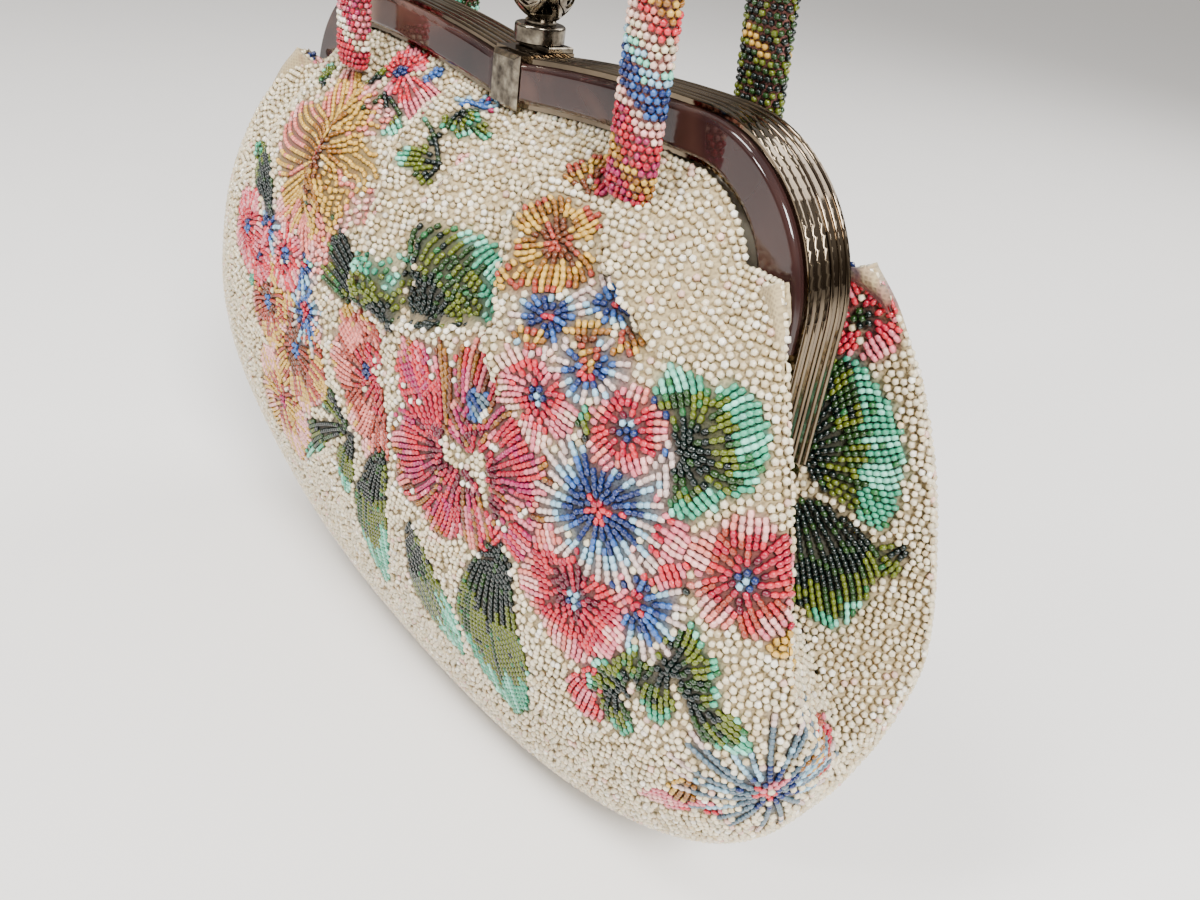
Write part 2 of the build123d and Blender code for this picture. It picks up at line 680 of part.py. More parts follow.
def main():
    """Builds and writes every node."""
    export(frame_half(-1), "front_frame")
    export(frame_half(1), "rear_frame")
    halves = ((-1, "front", front_strap_place, 0.0), (1, "rear", rear_strap_place, rear_strap_lean))
    for side, side_name, strap_place, strap_lean in halves:
        for hand, hand_name in ((-1, "left"), (1, "right")):
            export(inlay(side, hand), f"{side_name}_{hand_name}_inlay")
        export(channel_cord(side), f"{side_name}_channel_cord")
        cloth_half = cloth(side)
        export(cloth_half, f"{side_name}_cloth")
        export(handle(side, strap_place, strap_lean, cloth_half), f"{side_name}_handle")
        export(lining(side), f"{side_name}_lining")
    export(clasp_bar(), "clasp_bar")
    export(clasp_plate(), "clasp_plate")
    export(clasp_collar(), "clasp_collar")
    export(clasp_knob(), "clasp_knob")
    export(lock_cam(), "lock_cam")
    export(cam_washer(), "cam_washer")
    export(keeper_post(), "keeper_post")
    for hand, name in ((-1, "left"), (1, "right")):
        export(hinge_pin(hand), f"{name}_hinge_pin")
        export(hinge_washer(hand), f"{name}_hinge_washer")


main()
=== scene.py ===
"""Looks of the beaded handbag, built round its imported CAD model."""

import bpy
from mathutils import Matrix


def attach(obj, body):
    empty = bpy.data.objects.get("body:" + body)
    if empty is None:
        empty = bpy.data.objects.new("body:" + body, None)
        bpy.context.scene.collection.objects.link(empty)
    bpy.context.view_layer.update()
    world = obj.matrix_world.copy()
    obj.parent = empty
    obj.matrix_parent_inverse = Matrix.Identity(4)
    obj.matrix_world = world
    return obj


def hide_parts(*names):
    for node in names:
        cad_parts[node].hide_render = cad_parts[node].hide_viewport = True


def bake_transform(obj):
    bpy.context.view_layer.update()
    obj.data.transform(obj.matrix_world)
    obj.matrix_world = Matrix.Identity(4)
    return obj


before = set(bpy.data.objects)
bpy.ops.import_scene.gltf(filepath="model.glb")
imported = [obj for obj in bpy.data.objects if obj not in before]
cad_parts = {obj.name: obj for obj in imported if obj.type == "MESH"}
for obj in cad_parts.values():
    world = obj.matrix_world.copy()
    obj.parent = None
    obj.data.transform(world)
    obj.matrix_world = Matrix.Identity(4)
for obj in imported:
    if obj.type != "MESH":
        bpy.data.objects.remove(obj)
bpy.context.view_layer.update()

import math

import bpy
import numpy as np
from bpy.props import FloatProperty, FloatVectorProperty, IntProperty, PointerProperty
from mathutils import Matrix, Vector
from mathutils.kdtree import KDTree

bl_info = {
    "name": "Beaded Handbag",
    "version": (1, 0, 0),
    "blender": (4, 5, 0),
    "location": "View3D > Sidebar > Handbag",
    "description": "Sews the beads, cloth, lining and handles of a handbag round its metal frame",
    "category": "Add Mesh",
}

MM = 0.001


def srgb(text):
    """Linear colour, with its alpha, of an sRGB hex value such as '#C0A040'."""
    parts = [int(text[i:i + 2], 16) / 255 for i in (1, 3, 5)]
    return (*(c / 12.92 if c <= 0.04045 else ((c + 0.055) / 1.055) ** 2.4 for c in parts), 1.0)


# Cloth: the same guide lines as the CAD model, in millimetres, from the frame down to the seam
FOLD_LINE = np.array([
    (92.5, -13.0, 157.0), (98.5, -15.5, 150.0), (104.5, -18.0, 139.5), (110.0, -19.5, 128.0),
    (115.0, -20.8, 116.0), (119.0, -21.6, 104.5), (122.5, -22.0, 93.5), (126.0, -19.0, 83.0),
    (127.0, -12.0, 74.0), (126.0, -5.0, 67.5), (125.0, -0.15, 64.0)])
CENTRE_LINE = np.array([
    (-5.2, 163.9), (-14.5, 157.5), (-27.5, 145.5), (-36.5, 130.5), (-41.5, 113.5), (-43.0, 95.0),
    (-42.6, 76.0), (-40.0, 57.0), (-35.0, 38.5), (-27.0, 17.5), (-15.5, 1.0), (-0.15, -0.6)])
VALLEY_LINE = np.array([
    (83.5, -8.4, 152.5), (84.2, -8.3, 145.0), (85.0, -7.4, 136.5), (86.2, -6.9, 127.0),
    (87.6, -6.2, 117.5), (89.2, -3.4, 109.0), (94.0, -1.0, 100.0), (102.0, -0.4, 91.5),
    (110.5, -0.3, 83.5), (118.0, -0.2, 75.5), (122.5, -0.15, 68.5)])
# Share of u that the face takes, the rest being the side fold, and the face's superellipse power
FACE_SHARE = 0.80
ROUNDNESS = 2.4
# The frame's lower edge in mm: crown of each hump and its rise, shoulder arc, and outer corner
HUMP_X, HUMP_Z, HUMP_RISE = 62, 168.7, 4.8
SHOULDER, SHOULDER_Z = 20.5, 148.2
CORNER_X, CORNER_Z = 92.5, 157
# Height of the cloth's top edge at the middle and how much lower it is at the fold, in mm
TOP_Z, TOP_DROP = 163.9, 6.9
# Steps in which a pattern is walked out over the cloth
WALK_STEPS = 10
# Gathers: the raised left edge as (x, height) from the frame down, how far it stands out, how far
# it falls away to the right, and how deep and wide the hollow on its left is
GATHERS = [
    ([(-20, 163), (-16, 155), (-9, 145), (-5, 136), (-4, 124), (-4, 112)], 8.6, 15.0, 7.6, 11.0),
    ([(12, 163), (9.5, 156), (9, 149), (12, 143), (15.5, 136), (18, 126)], 8.6, 13.0, 7.0, 9.0),
    ([(29, 164), (33, 156), (40, 146), (46, 137), (49, 128), (50, 118)], 8.2, 15.0, 6.0, 9.0),
    ([(53, 164), (55, 158), (62, 152), (72, 146), (82, 140), (90, 136)], 4.6, 16.0, 2.4, 9.0),
    ([(-46, 163), (-43, 150), (-41, 138), (-40, 124)], 6.4, 13.0, 4.2, 9.0),
]
# Half the width of a gather's raised edge, in mm
GATHER_EDGE = 0.9
# The tuck: its line as (x, height), how far the cloth sinks above it and stands out below, in mm
TUCK_LINE = [(10, 121.5), (28, 127.0), (46, 134.0), (54, 137.0)]
TUCK_UPPER, TUCK_LOWER = -1.6, 2.2


def follow(points, t):
    """Places at t, 0 to 1, on a smooth curve through evenly numbered points."""
    count = len(points) - 1
    place = np.clip(t, 0, 1) * count
    i = np.minimum(place.astype(int), count - 1)
    f = (place - i)[..., None]
    a, b = points[np.maximum(i - 1, 0)], points[i]
    c, d = points[i + 1], points[np.minimum(i + 2, count)]
    return 0.5 * (2 * b + (c - a) * f + (2 * a - 5 * b + 4 * c - d) * f ** 2
                  + (3 * b - a - 3 * c + d) * f ** 3)


def frame_edge_height(x):
    """Height of the cloth's top edge along the frame's lower edge."""
    x = np.abs(x)
    radius = (HUMP_X ** 2 + HUMP_RISE ** 2) / (2 * HUMP_RISE)
    hump = HUMP_Z - radius + np.sqrt(radius ** 2 - np.clip(HUMP_X - x, -HUMP_X, HUMP_X) ** 2)
    reach = np.clip(x - HUMP_X, 0, None)
    bend = SHOULDER * 0.93
    arc = SHOULDER_Z + np.sqrt(np.clip(SHOULDER ** 2 - reach ** 2, 0, None))
    low = SHOULDER_Z + math.sqrt(SHOULDER ** 2 - bend ** 2)
    outer = low + (CORNER_Z - low) * (reach - bend) / (CORNER_X - HUMP_X - bend)
    return np.where(x <= HUMP_X, hump, np.where(reach <= bend, arc, outer))


def gather_height(x, z):
    """How far the gathers and the tuck stand out from the smooth cloth."""
    lift = np.zeros_like(x)
    for line, height, fall, hollow, reach in GATHERS:
        line = np.array(line, float)[::-1]
        low, high = line[0, 1], line[-1, 1]
        fade = np.clip((z - low) / 16, 0, 1) * np.clip(0.25 + (high + 3 - z) / 9, 0.25, 1)
        fade = fade * fade * (3 - 2 * fade)
        off = x - np.interp(z, line[:, 1], line[:, 0])
        step = 0.5 + 0.5 * np.tanh(off / GATHER_EDGE)
        right = height * step * np.exp(-np.clip(off, 0, None) / fall)
        left = hollow * (1 - step) * np.exp(np.clip(off, None, 0) / reach)
        lift += fade * (right - left)
    tuck = np.array(TUCK_LINE, float)
    above = z - np.interp(x, tuck[:, 0], tuck[:, 1])
    beside = np.clip((x - 6) / 8, 0, 1) * np.clip((54 - x) / 6, 0, 1)
    upper = TUCK_UPPER * np.exp(-np.clip(above, 0, None) / 7)
    lower = TUCK_LOWER * np.exp(np.clip(above, None, 0) / 12)
    return lift + beside * np.where(above > 0, upper, lower) * np.clip(np.abs(above) / 0.6, 0, 1)


def cloth_place(u, v, side):
    """Places on a cloth half, in mm. u runs across, -1 to 1, v from frame to seam, side -1 is front."""
    hand = np.where(u >= 0, 1.0, -1.0)
    across = np.abs(u)
    fold, middle, valley = follow(FOLD_LINE, v), follow(CENTRE_LINE, v), follow(VALLEY_LINE, v)
    angle = math.pi / 2 * np.minimum(across / FACE_SHARE, 1)
    level = np.clip(np.cos(angle), 0, 1)
    g = 1 - level ** (2 / ROUNDNESS)
    x = fold[..., 0] * np.sin(angle) ** (2 / ROUNDNESS)
    y = middle[..., 0] + (fold[..., 1] - middle[..., 0]) * g
    z = middle[..., 1] + (fold[..., 2] - middle[..., 1]) * g
    z = z + (frame_edge_height(x) - (TOP_Z - TOP_DROP * g)) * (1 - v) ** 4
    x_seen = x * hand if side < 0 else -x * hand
    y = y - gather_height(x_seen, z) * np.clip(1.5 * level ** 0.5, 0, 1) * np.clip(8 * v, 0, 1)
    t = np.clip((across - FACE_SHARE) / (1 - FACE_SHARE), 0, 1)
    beyond = across > FACE_SHARE
    x = np.where(beyond, fold[..., 0] + (valley[..., 0] - fold[..., 0]) * t, x)
    y = np.where(beyond, fold[..., 1] + (valley[..., 1] - fold[..., 1]) * t, y)
    z = np.where(beyond, fold[..., 2] + (valley[..., 2] - fold[..., 2]) * t, z)
    return np.stack([hand * x, -side * y, z], -1)


def cloth_slopes(u, v, side):
    """The two directions along the cloth at u, v, in mm per unit, and the outward normal."""
    du, dv = 0.002, 0.003
    u, v = np.clip(u, -1, 1), np.clip(v, 0, 1)
    u0, v0 = np.clip(u - du, -1, 1 - 2 * du), np.clip(v - dv, 0, 1 - 2 * dv)
    across = (cloth_place(u0 + 2 * du, v, side) - cloth_place(u0, v, side)) / (2 * du)
    down = (cloth_place(u, v0 + 2 * dv, side) - cloth_place(u, v0, side)) / (2 * dv)
    normal = np.cross(down, across) * -side
    normal /= np.linalg.norm(normal, axis=-1, keepdims=True) + 1e-9
    # at the frame's corners the cloth is pinched, and its beads look outwards all the same
    facing = np.stack([0.3 * np.sign(u), np.full_like(u, 0.9 * side), np.full_like(u, 0.3)], -1)
    pinched = (np.abs(u) < FACE_SHARE) & (v < 0.12) & ((normal * facing).sum(-1) < 0.3)
    normal = np.where(pinched[..., None], facing, normal)
    return across, down, normal


def walk(u, v, a, b, side):
    """Goes a mm across and b mm down along the cloth from u, v, and returns the u, v reached."""
    u, v = u.astype(float).copy(), v.astype(float).copy()
    far = np.hypot(a, b)
    step = far / WALK_STEPS
    heading = None
    for _ in range(WALK_STEPS):
        across, down, normal = cloth_slopes(u, v, side)
        if heading is None:
            e1 = across / np.linalg.norm(across, axis=-1, keepdims=True)
            e2 = down - (down * e1).sum(-1, keepdims=True) * e1
            e2 /= np.linalg.norm(e2, axis=-1, keepdims=True)
            heading = (a[:, None] * e1 + b[:, None] * e2) / np.maximum(far, 1e-6)[:, None]
        else:
            heading = heading - (heading * normal).sum(-1, keepdims=True) * normal
            heading /= np.linalg.norm(heading, axis=-1, keepdims=True) + 1e-9
        g11 = (across * across).sum(-1)
        g12 = (across * down).sum(-1)
        g22 = (down * down).sum(-1)
        r1, r2 = (heading * across).sum(-1), (heading * down).sum(-1)
        det = np.maximum(g11 * g22 - g12 ** 2, 1e-6)
        u = np.clip(u + (r1 * g22 - r2 * g12) / det * step, -1.05, 1.05)
        v = np.clip(v + (r2 * g11 - r1 * g12) / det * step, -0.05, 1.05)
    return u, v


def direction_between(start, end, side):
    """Across and down share of the way from one cloth place to another."""
    u, v = np.array([start[0]]), np.array([start[1]])
    across, down, _ = cloth_slopes(u, v, side)
    e1 = across[0] / np.linalg.norm(across[0])
    e2 = down[0] - (down[0] @ e1) * e1
    e2 /= np.linalg.norm(e2)
    way = cloth_place(np.array([end[0]]), np.array([end[1]]), side)[0] - cloth_place(u, v, side)[0]
    flat = np.array([way @ e1, way @ e2])
    return flat / (np.linalg.norm(flat) + 1e-9)


# Bead colours, as the glass is seen by daylight
BEAD_COLOURS = {
    "ivory": "#D6C8A9", "cream": "#C4B18A", "white": "#EBE3D2", "blush": "#D8B3A2",
    "gold": "#C59B45", "amber": "#8A5A22", "rust": "#973B2C", "brown": "#63331B",
    "pink": "#E0A09A", "coral": "#D2766A", "rose": "#CF6E7A", "red": "#BE2C38",
    "crimson": "#A51B33", "magenta": "#9C2552", "wine": "#5E1024",
    "navy": "#1B2A5C", "blue": "#375C9A", "sky": "#8DB4C8", "mist": "#C7AFA7", "slate": "#566975",
    "forest": "#0A1713", "moss": "#203A16", "olive": "#566018", "leaf": "#2A6337",
    "teal": "#3F9877", "aqua": "#7CCBB1",
}
# Petals and spokes: share of the way out at which each band of colours ends
BANDS = {
    "daisy": [(0.25, "brown"), (0.5, "amber gold"), (0.8, "gold gold coral"), (1.1, "coral pink")],
    "daisy_core": [(0.6, "magenta crimson wine"), (1.1, "brown rust")],
    "red": [(0.4, "crimson red"), (0.8, "red rose"), (1.1, "rose red")],
    "red_pink": [(0.3, "crimson wine"), (0.65, "red crimson"), (1.1, "rose pink coral")],
    "red_pink_big": [(0.3, "wine crimson"), (0.65, "red crimson rust"), (1.1, "rose pink coral")],
    "pink_red_f": [(0.35, "crimson"), (0.6, "red rose"), (1.1, "rose pink")],
    "pink": [(0.3, "crimson"), (0.6, "red rose"), (1.1, "pink rose blush")],
    "pink_red": [(0.5, "red rose"), (1.1, "pink rose")],
    "red_small": [(0.5, "red crimson"), (1.1, "red rose pink")],
    "red_small2": [(0.5, "crimson red"), (0.8, "red rose"), (1.1, "rose pink")],
    "rust": [(0.4, "rust brown"), (0.8, "rust gold"), (1.1, "gold pink")],
    "gold_pink": [(0.5, "gold rust"), (1.1, "pink gold")],
    "rust_gold": [(0.3, "rust brown"), (0.75, "gold amber"), (1.1, "rust rust gold")],
    "rust_pink": [(0.35, "rust crimson"), (0.75, "rust coral"), (1.1, "pink coral gold")],
    "peony": [(0.2, "wine crimson"), (0.6, "crimson magenta red"), (0.85, "rose magenta red"),
              (1.1, "rose coral amber")],
    "peony_stripe": [(0.2, "wine crimson"), (0.7, "crimson magenta rose"), (1.1, "rose red coral")],
    "peony_gold": [(1.1, "amber brown")],
    "blue_patch": [(0.8, "navy blue slate"), (1.1, "sky white")],
    "blue_mix": [(0.5, "navy blue"), (1.1, "sky magenta mist")],
    "blue_strip": [(0.6, "navy blue"), (1.1, "sky mist")],
    "magenta": [(0.6, "magenta crimson"), (1.1, "magenta rose")],
    "gold": [(1.1, "gold amber")],
    "corner": [(0.4, "amber gold"), (0.7, "amber rust"), (1.1, "crimson red rose")],
    "blue_star": [(0.2, "red crimson"), (0.5, "navy navy blue"), (0.68, "sky blue"),
                  (1.1, "mist mist sky")],
    "blue_daisy": [(0.2, "red crimson"), (0.46, "navy"), (0.6, "blue navy"), (0.78, "sky"), (1.1, "mist")],
    "grey_star": [(0.15, "red rose"), (0.35, "navy slate"), (0.75, "slate slate sky"), (1.1, "slate mist")],
}
# Colours of the small hearts of the flowers, navy where none is given
HEARTS = {"pink": "sky navy", "red_pink": "navy sky", "red_pink_big": "navy navy sky",
          "pink_red_f": "navy slate", "red_small": "blue navy", "red_small2": "forest moss",
          "rust": "blue", "gold_pink": "magenta"}
# Leaves: share at which the dark and the olive part end, and which side is darker
LEAVES = {"leaf": (0.42, 0.76, 0), "leaf_dark": (0.66, 0.88, 0), "leaf_left": (0.36, 0.72, 1),
          "leaf_right": (0.36, 0.72, -1), "leaf_fan": (0.4, 0.76, -1), "leaf_teal": (0.36, 0.62, 0),
          "leaf_side": (0.42, 0.66, 1), "aqua": (0.0, 0.2, 0)}
PEARLS = ("ivory", "cream", "white", "blush")

# Patterns: kind, colours, place on the cloth (across, down), then in mm and degrees
# - petal, leaf: place of the tip, length, width
# - flower: radius, number of petals, first angle; disc, spot: radius; spokes: radius, number
# - daisy: length across and down, number of petals; beads: only a list of places
# What comes first lies on top.
FRONT_PATTERN = [
    ("disc", "daisy_core", (-0.172, 0.222), 7.0),
    ("daisy", "daisy", (-0.172, 0.222), 37.0, 24.0, 10),
    ("spot", "navy", (-0.672, 0.000), 1.6),
    ("flower", "red_small", (-0.669, 0.000), 3.3, 5, 20),
    ("leaf", "leaf", (-0.322, 0.138), (-0.387, 0.097), 9.5, 7),
    ("leaf", "aqua", (-0.266, 0.113), (-0.300, 0.088), 6.1, 5),
    ("leaf", "leaf", (-0.181, 0.109), (-0.253, 0.116), 12.6, 5),
    ("leaf", "leaf_dark", (-0.184, 0.113), (-0.231, 0.062), 11.9, 7),
    ("leaf", "leaf", (-0.159, 0.103), (-0.097, 0.147), 14.6, 9),
    ("leaf", "leaf", (-0.153, 0.116), (-0.147, 0.144), 5.9, 6),
    ("spot", "navy", (-0.178, 0.062), 2.2),
    ("petal", "red", (-0.184, 0.053), (-0.219, 0.000), 7.6, 12),
    ("petal", "red", (-0.178, 0.059), (-0.172, 0.000), 7.5, 10),
    ("petal", "red", (-0.175, 0.066), (-0.219, 0.072), 7.7, 9),
    ("petal", "pink_red", (-0.159, 0.066), (-0.084, 0.116), 16.5, 12),
    ("petal", "red", (-0.169, 0.066), (-0.141, 0.106), 8.4, 8),
    ("spot", "blue", (-0.125, 0.034), 2.4),
    ("spot", "blue", (-0.125, 0.059), 2.0),
    ("petal", "blue_mix", (-0.028, 0.041), (-0.053, 0.050), 6.2, 5),
    ("petal", "blue_mix", (-0.025, 0.041), (-0.028, 0.000), 4.5, 6),
    ("petal", "blue_mix", (-0.022, 0.044), (-0.009, 0.016), 4.8, 5),
    ("leaf", "leaf", (-0.031, 0.069), (-0.022, 0.097), 5.5, 8),
    ("leaf", "leaf", (-0.031, 0.066), (-0.009, 0.062), 6.0, 8),
    ("leaf", "leaf", (-0.025, 0.069), (-0.006, 0.094), 6.8, 8),
    ("leaf", "leaf", (-0.025, 0.059), (0.009, 0.088), 12.1, 6),
    ("leaf", "leaf_dark", (-0.006, 0.134), (-0.050, 0.094), 14.0, 5),
    ("leaf", "leaf", (-0.003, 0.138), (-0.037, 0.147), 10.8, 9),
    ("leaf", "leaf_dark", (-0.003, 0.144), (-0.006, 0.169), 5.7, 7),
    ("spot", "pink", (0.006, 0.128), 1.8),
    ("leaf", "leaf_dark", (-0.250, 0.328), (-0.478, 0.247), 33.4, 12),
    ("flower", "red_small", (-0.341, 0.372), 10.5, 5, 0),
    ("flower", "red", (-0.272, 0.391), 8.4, 5, 10),
    ("spokes", "blue_star", (-0.256, 0.350), 7.0, 12),
    ("flower", "red_small", (-0.181, 0.359), 8.6, 5, 30),
    ("spokes", "blue_star", (-0.137, 0.350), 7.0, 14),
    ("leaf", "leaf", (-0.256, 0.384), (-0.297, 0.453), 16.2, 6),
    ("flower", "rust", (-0.219, 0.444), 12.6, 5, 0),
    ("spokes", "blue_star", (-0.109, 0.406), 7.9, 14),
    ("flower", "rust", (-0.128, 0.469), 16.4, 6, 10),
    ("flower", "gold_pink", (-0.175, 0.578), 15.0, 5, 0),
    ("leaf", "leaf", (-0.125, 0.397), (-0.162, 0.388), 8.5, 6),
    ("leaf", "leaf_left", (-0.025, 0.344), (-0.228, 0.303), 46.7, 20),
    ("leaf", "leaf_right", (0.038, 0.331), (-0.009, 0.247), 22.7, 17),
    ("leaf", "leaf_fan", (0.072, 0.309), (0.088, 0.172), 27.5, 36),
    ("leaf", "leaf", (0.059, 0.312), (0.025, 0.231), 18.4, 9),
    ("spot", "blue", (0.238, 0.069), 1.6),
    ("petal", "rust_gold", (0.206, 0.153), (0.163, 0.122), 10.2, 13),
    ("petal", "rust_gold", (0.213, 0.153), (0.238, 0.116), 9.1, 10),
    ("petal", "rust_gold", (0.213, 0.159), (0.175, 0.175), 8.4, 11),
    ("petal", "rust_gold", (0.219, 0.163), (0.238, 0.206), 9.7, 16),
    ("petal", "rust_gold", (0.222, 0.159), (0.272, 0.188), 10.6, 10),
    ("petal", "rust_gold", (0.203, 0.209), (0.181, 0.194), 5.2, 9),
    ("petal", "rust_gold", (0.197, 0.094), (0.159, 0.069), 8.3, 8),
    ("petal", "rust_gold", (0.194, 0.088), (0.178, 0.044), 8.5, 8),
    ("petal", "magenta", (0.216, 0.097), (0.225, 0.050), 8.1, 9),
    ("petal", "rust_gold", (0.206, 0.100), (0.203, 0.081), 3.5, 6),
    ("petal", "rust_gold", (0.244, 0.259), (0.241, 0.241), 3.8, 9),
    ("petal", "rust_gold", (0.309, 0.231), (0.303, 0.216), 3.4, 12),
    ("petal", "rust_gold", (0.328, 0.234), (0.306, 0.247), 3.9, 10),
    ("petal", "rust_gold", (0.356, 0.203), (0.378, 0.216), 4.7, 9),
    ("spokes", "blue_star", (0.253, 0.225), 6.6, 16),
    ("spokes", "blue_star", (0.322, 0.191), 5.5, 14),
    ("spokes", "blue_star", (0.325, 0.253), 6.0, 18),
    ("flower", "pink", (0.263, 0.306), 9.4, 5, 10),
    ("flower", "red_pink", (0.400, 0.281), 7.8, 5, -20),
    ("leaf", "leaf", (0.350, 0.325), (0.328, 0.288), 8.7, 7),
    ("petal", "blue_strip", (0.431, 0.238), (0.456, 0.309), 12.6, 7),
    ("petal", "blue_strip", (0.450, 0.244), (0.475, 0.334), 15.6, 6),
    ("spokes", "blue_daisy", (0.372, 0.378), 11.5, 34),
    ("leaf", "leaf_teal", (0.500, 0.272), (0.444, 0.191), 15.1, 13),
    ("leaf", "leaf_teal", (0.497, 0.272), (0.728, 0.225), 16.8, 24),
    ("leaf", "leaf_teal", (0.503, 0.288), (0.578, 0.331), 10.6, 20),
    ("leaf", "leaf_teal", (0.494, 0.281), (0.631, 0.284), 12.1, 16),
    ("leaf", "leaf_teal", (0.491, 0.269), (0.588, 0.206), 12.0, 11),
    ("flower", "pink_red_f", (0.456, 0.369), 7.1, 4, 15),
    ("petal", "red", (0.466, 0.384), (0.506, 0.434), 10.1, 12),
    ("flower", "red_pink", (0.344, 0.497), 13.1, 5, 20),
    ("spokes", "blue_star", (0.441, 0.466), 9.0, 20),
    ("leaf", "leaf", (0.425, 0.472), (0.388, 0.456), 6.2, 7),
    ("leaf", "leaf", (0.534, 0.431), (0.500, 0.416), 4.6, 6),
    ("flower", "red_pink_big", (0.659, 0.409), 10.7, 5, -8),
    ("leaf", "leaf", (0.434, 0.588), (0.372, 0.556), 10.9, 8),
    ("leaf", "leaf", (0.419, 0.584), (0.419, 0.509), 13.7, 9),
    ("leaf", "leaf", (0.413, 0.588), (0.416, 0.653), 12.1, 11),
    ("leaf", "leaf", (0.406, 0.597), (0.363, 0.594), 7.0, 7),
    ("leaf", "leaf", (0.450, 0.562), (0.456, 0.516), 8.5, 8),
    ("petal", "red", (0.388, 0.572), (0.344, 0.653), 17.4, 13),
    ("leaf", "leaf", (0.506, 0.531), (0.547, 0.466), 12.4, 11),
    ("leaf", "leaf", (0.506, 0.531), (0.609, 0.519), 11.3, 11),
    ("leaf", "leaf", (0.500, 0.534), (0.481, 0.613), 14.1, 10),
    ("leaf", "leaf", (0.516, 0.534), (0.494, 0.497), 6.7, 8),
    ("leaf", "leaf", (0.531, 0.556), (0.606, 0.550), 8.0, 10),
    ("leaf", "leaf", (0.550, 0.553), (0.666, 0.659), 16.9, 12),
    ("leaf", "leaf_left", (-0.016, 0.506), (-0.112, 0.488), 27.3, 11),
    ("leaf", "leaf_left", (-0.019, 0.509), (-0.150, 0.656), 47.4, 11),
    ("leaf", "leaf", (-0.009, 0.513), (-0.031, 0.616), 23.0, 10),
    ("leaf", "leaf_left", (0.031, 0.491), (0.000, 0.734), 52.7, 20),
    ("leaf", "leaf_left", (0.069, 0.562), (0.125, 0.722), 36.6, 22),
    ("leaf", "leaf", (0.222, 0.491), (0.203, 0.756), 54.9, 30),
    ("beads", "white", [
        (0.022, 0.328), (0.044, 0.325), (0.056, 0.322), (0.069, 0.312), (0.084, 0.309),
        (0.097, 0.309), (0.103, 0.300), (0.113, 0.297), (0.119, 0.291), (0.128, 0.291),
        (0.141, 0.300), (0.094, 0.309), (0.094, 0.328), (0.097, 0.341), (0.100, 0.356),
        (0.116, 0.300), (0.122, 0.316), (0.128, 0.328), (0.134, 0.344), (0.122, 0.281),
        (0.141, 0.278), (0.144, 0.275), (0.166, 0.269), (0.059, 0.413), (0.072, 0.400),
        (0.084, 0.394), (0.056, 0.431), (0.050, 0.441), (0.041, 0.463), (0.034, 0.494),
        (0.050, 0.484), (0.141, 0.416), (0.150, 0.422), (0.156, 0.431), (0.159, 0.450),
        (0.169, 0.447), (0.200, 0.388), (0.206, 0.388), (0.041, 0.513), (0.050, 0.519),
        (0.059, 0.522), (0.078, 0.509), (0.025, 0.394), (0.019, 0.391), (0.012, 0.388),
        (0.050, 0.384), (0.059, 0.388), (0.053, 0.400), (0.291, 0.406), (0.300, 0.400),
        (0.219, 0.466), (0.228, 0.469), (0.253, 0.441), (0.259, 0.434)
    ]),
    ("petal", "blue_patch", (0.159, 0.347), (0.184, 0.363), 6.3, 11),
    ("petal", "peony", (0.116, 0.422), (0.056, 0.331), 23.7, 20),
    ("petal", "peony_gold", (0.128, 0.394), (0.106, 0.309), 17.7, 8),
    ("petal", "peony_stripe", (0.166, 0.397), (0.163, 0.278), 23.4, 17),
    ("petal", "peony", (0.122, 0.431), (0.044, 0.472), 21.7, 20),
    ("petal", "peony_stripe", (0.131, 0.444), (0.056, 0.516), 24.0, 16),
    ("petal", "peony", (0.147, 0.441), (0.106, 0.537), 22.2, 18),
    ("petal", "peony_stripe", (0.163, 0.434), (0.181, 0.522), 18.7, 17),
    ("petal", "peony", (0.197, 0.416), (0.281, 0.359), 19.0, 20),
    ("petal", "peony_stripe", (0.197, 0.428), (0.306, 0.400), 21.1, 18),
    ("petal", "peony", (0.203, 0.447), (0.288, 0.459), 16.7, 18),
    ("petal", "peony_stripe", (0.184, 0.400), (0.238, 0.350), 14.1, 15),
    ("petal", "peony", (0.178, 0.391), (0.206, 0.334), 12.2, 12),
    ("petal", "peony_stripe", (0.169, 0.406), (0.131, 0.369), 11.5, 14),
    ("spot", "navy", (0.003, 0.409), 2.6),
    ("petal", "rust_pink", (0.009, 0.406), (-0.041, 0.359), 20.3, 16),
    ("petal", "rust_pink", (0.006, 0.419), (-0.050, 0.422), 19.7, 16),
    ("petal", "rust_pink", (0.016, 0.409), (-0.012, 0.497), 21.7, 16),
    ("petal", "rust_pink", (0.022, 0.413), (0.012, 0.528), 24.3, 16),
    ("petal", "rust_pink", (0.019, 0.391), (-0.006, 0.350), 12.9, 12),
    ("petal", "peony", (0.191, 0.509), (0.213, 0.466), 10.0, 10),
    ("spokes", "grey_star", (0.684, 0.756), 16.5, 22),
    ("petal", "gold", (0.528, 0.700), (0.484, 0.753), 12.6, 7),
    ("petal", "pink_red", (0.559, 0.753), (0.419, 0.763), 20.7, 7),
    ("petal", "pink_red", (0.562, 0.781), (0.534, 0.744), 6.3, 8),
    ("petal", "corner", (0.747, 0.775), (1.000, 0.947), 17.5, 18),
    ("spot", "gold", (0.778, 0.516), 3.6),
    ("spot", "crimson", (0.800, 0.519), 2.0),
    ("petal", "gold", (0.891, 0.700), (0.800, 0.606), 14.9, 5),
]
SIDE_PATTERN = [
    ("flower", "red_small2", (0.875, 0.116), 7.8, 4, 30),
    ("leaf", "leaf_dark", (0.953, 0.084), (0.853, 0.053), 7.7, 9),
    ("leaf", "leaf_side", (0.972, 0.406), (0.831, 0.309), 20.5, 46),
    ("leaf", "leaf_dark", (0.959, 0.506), (0.928, 0.731), 27.7, 24),
    ("leaf", "leaf", (0.834, 0.519), (0.878, 0.591), 8.6, 9),
]

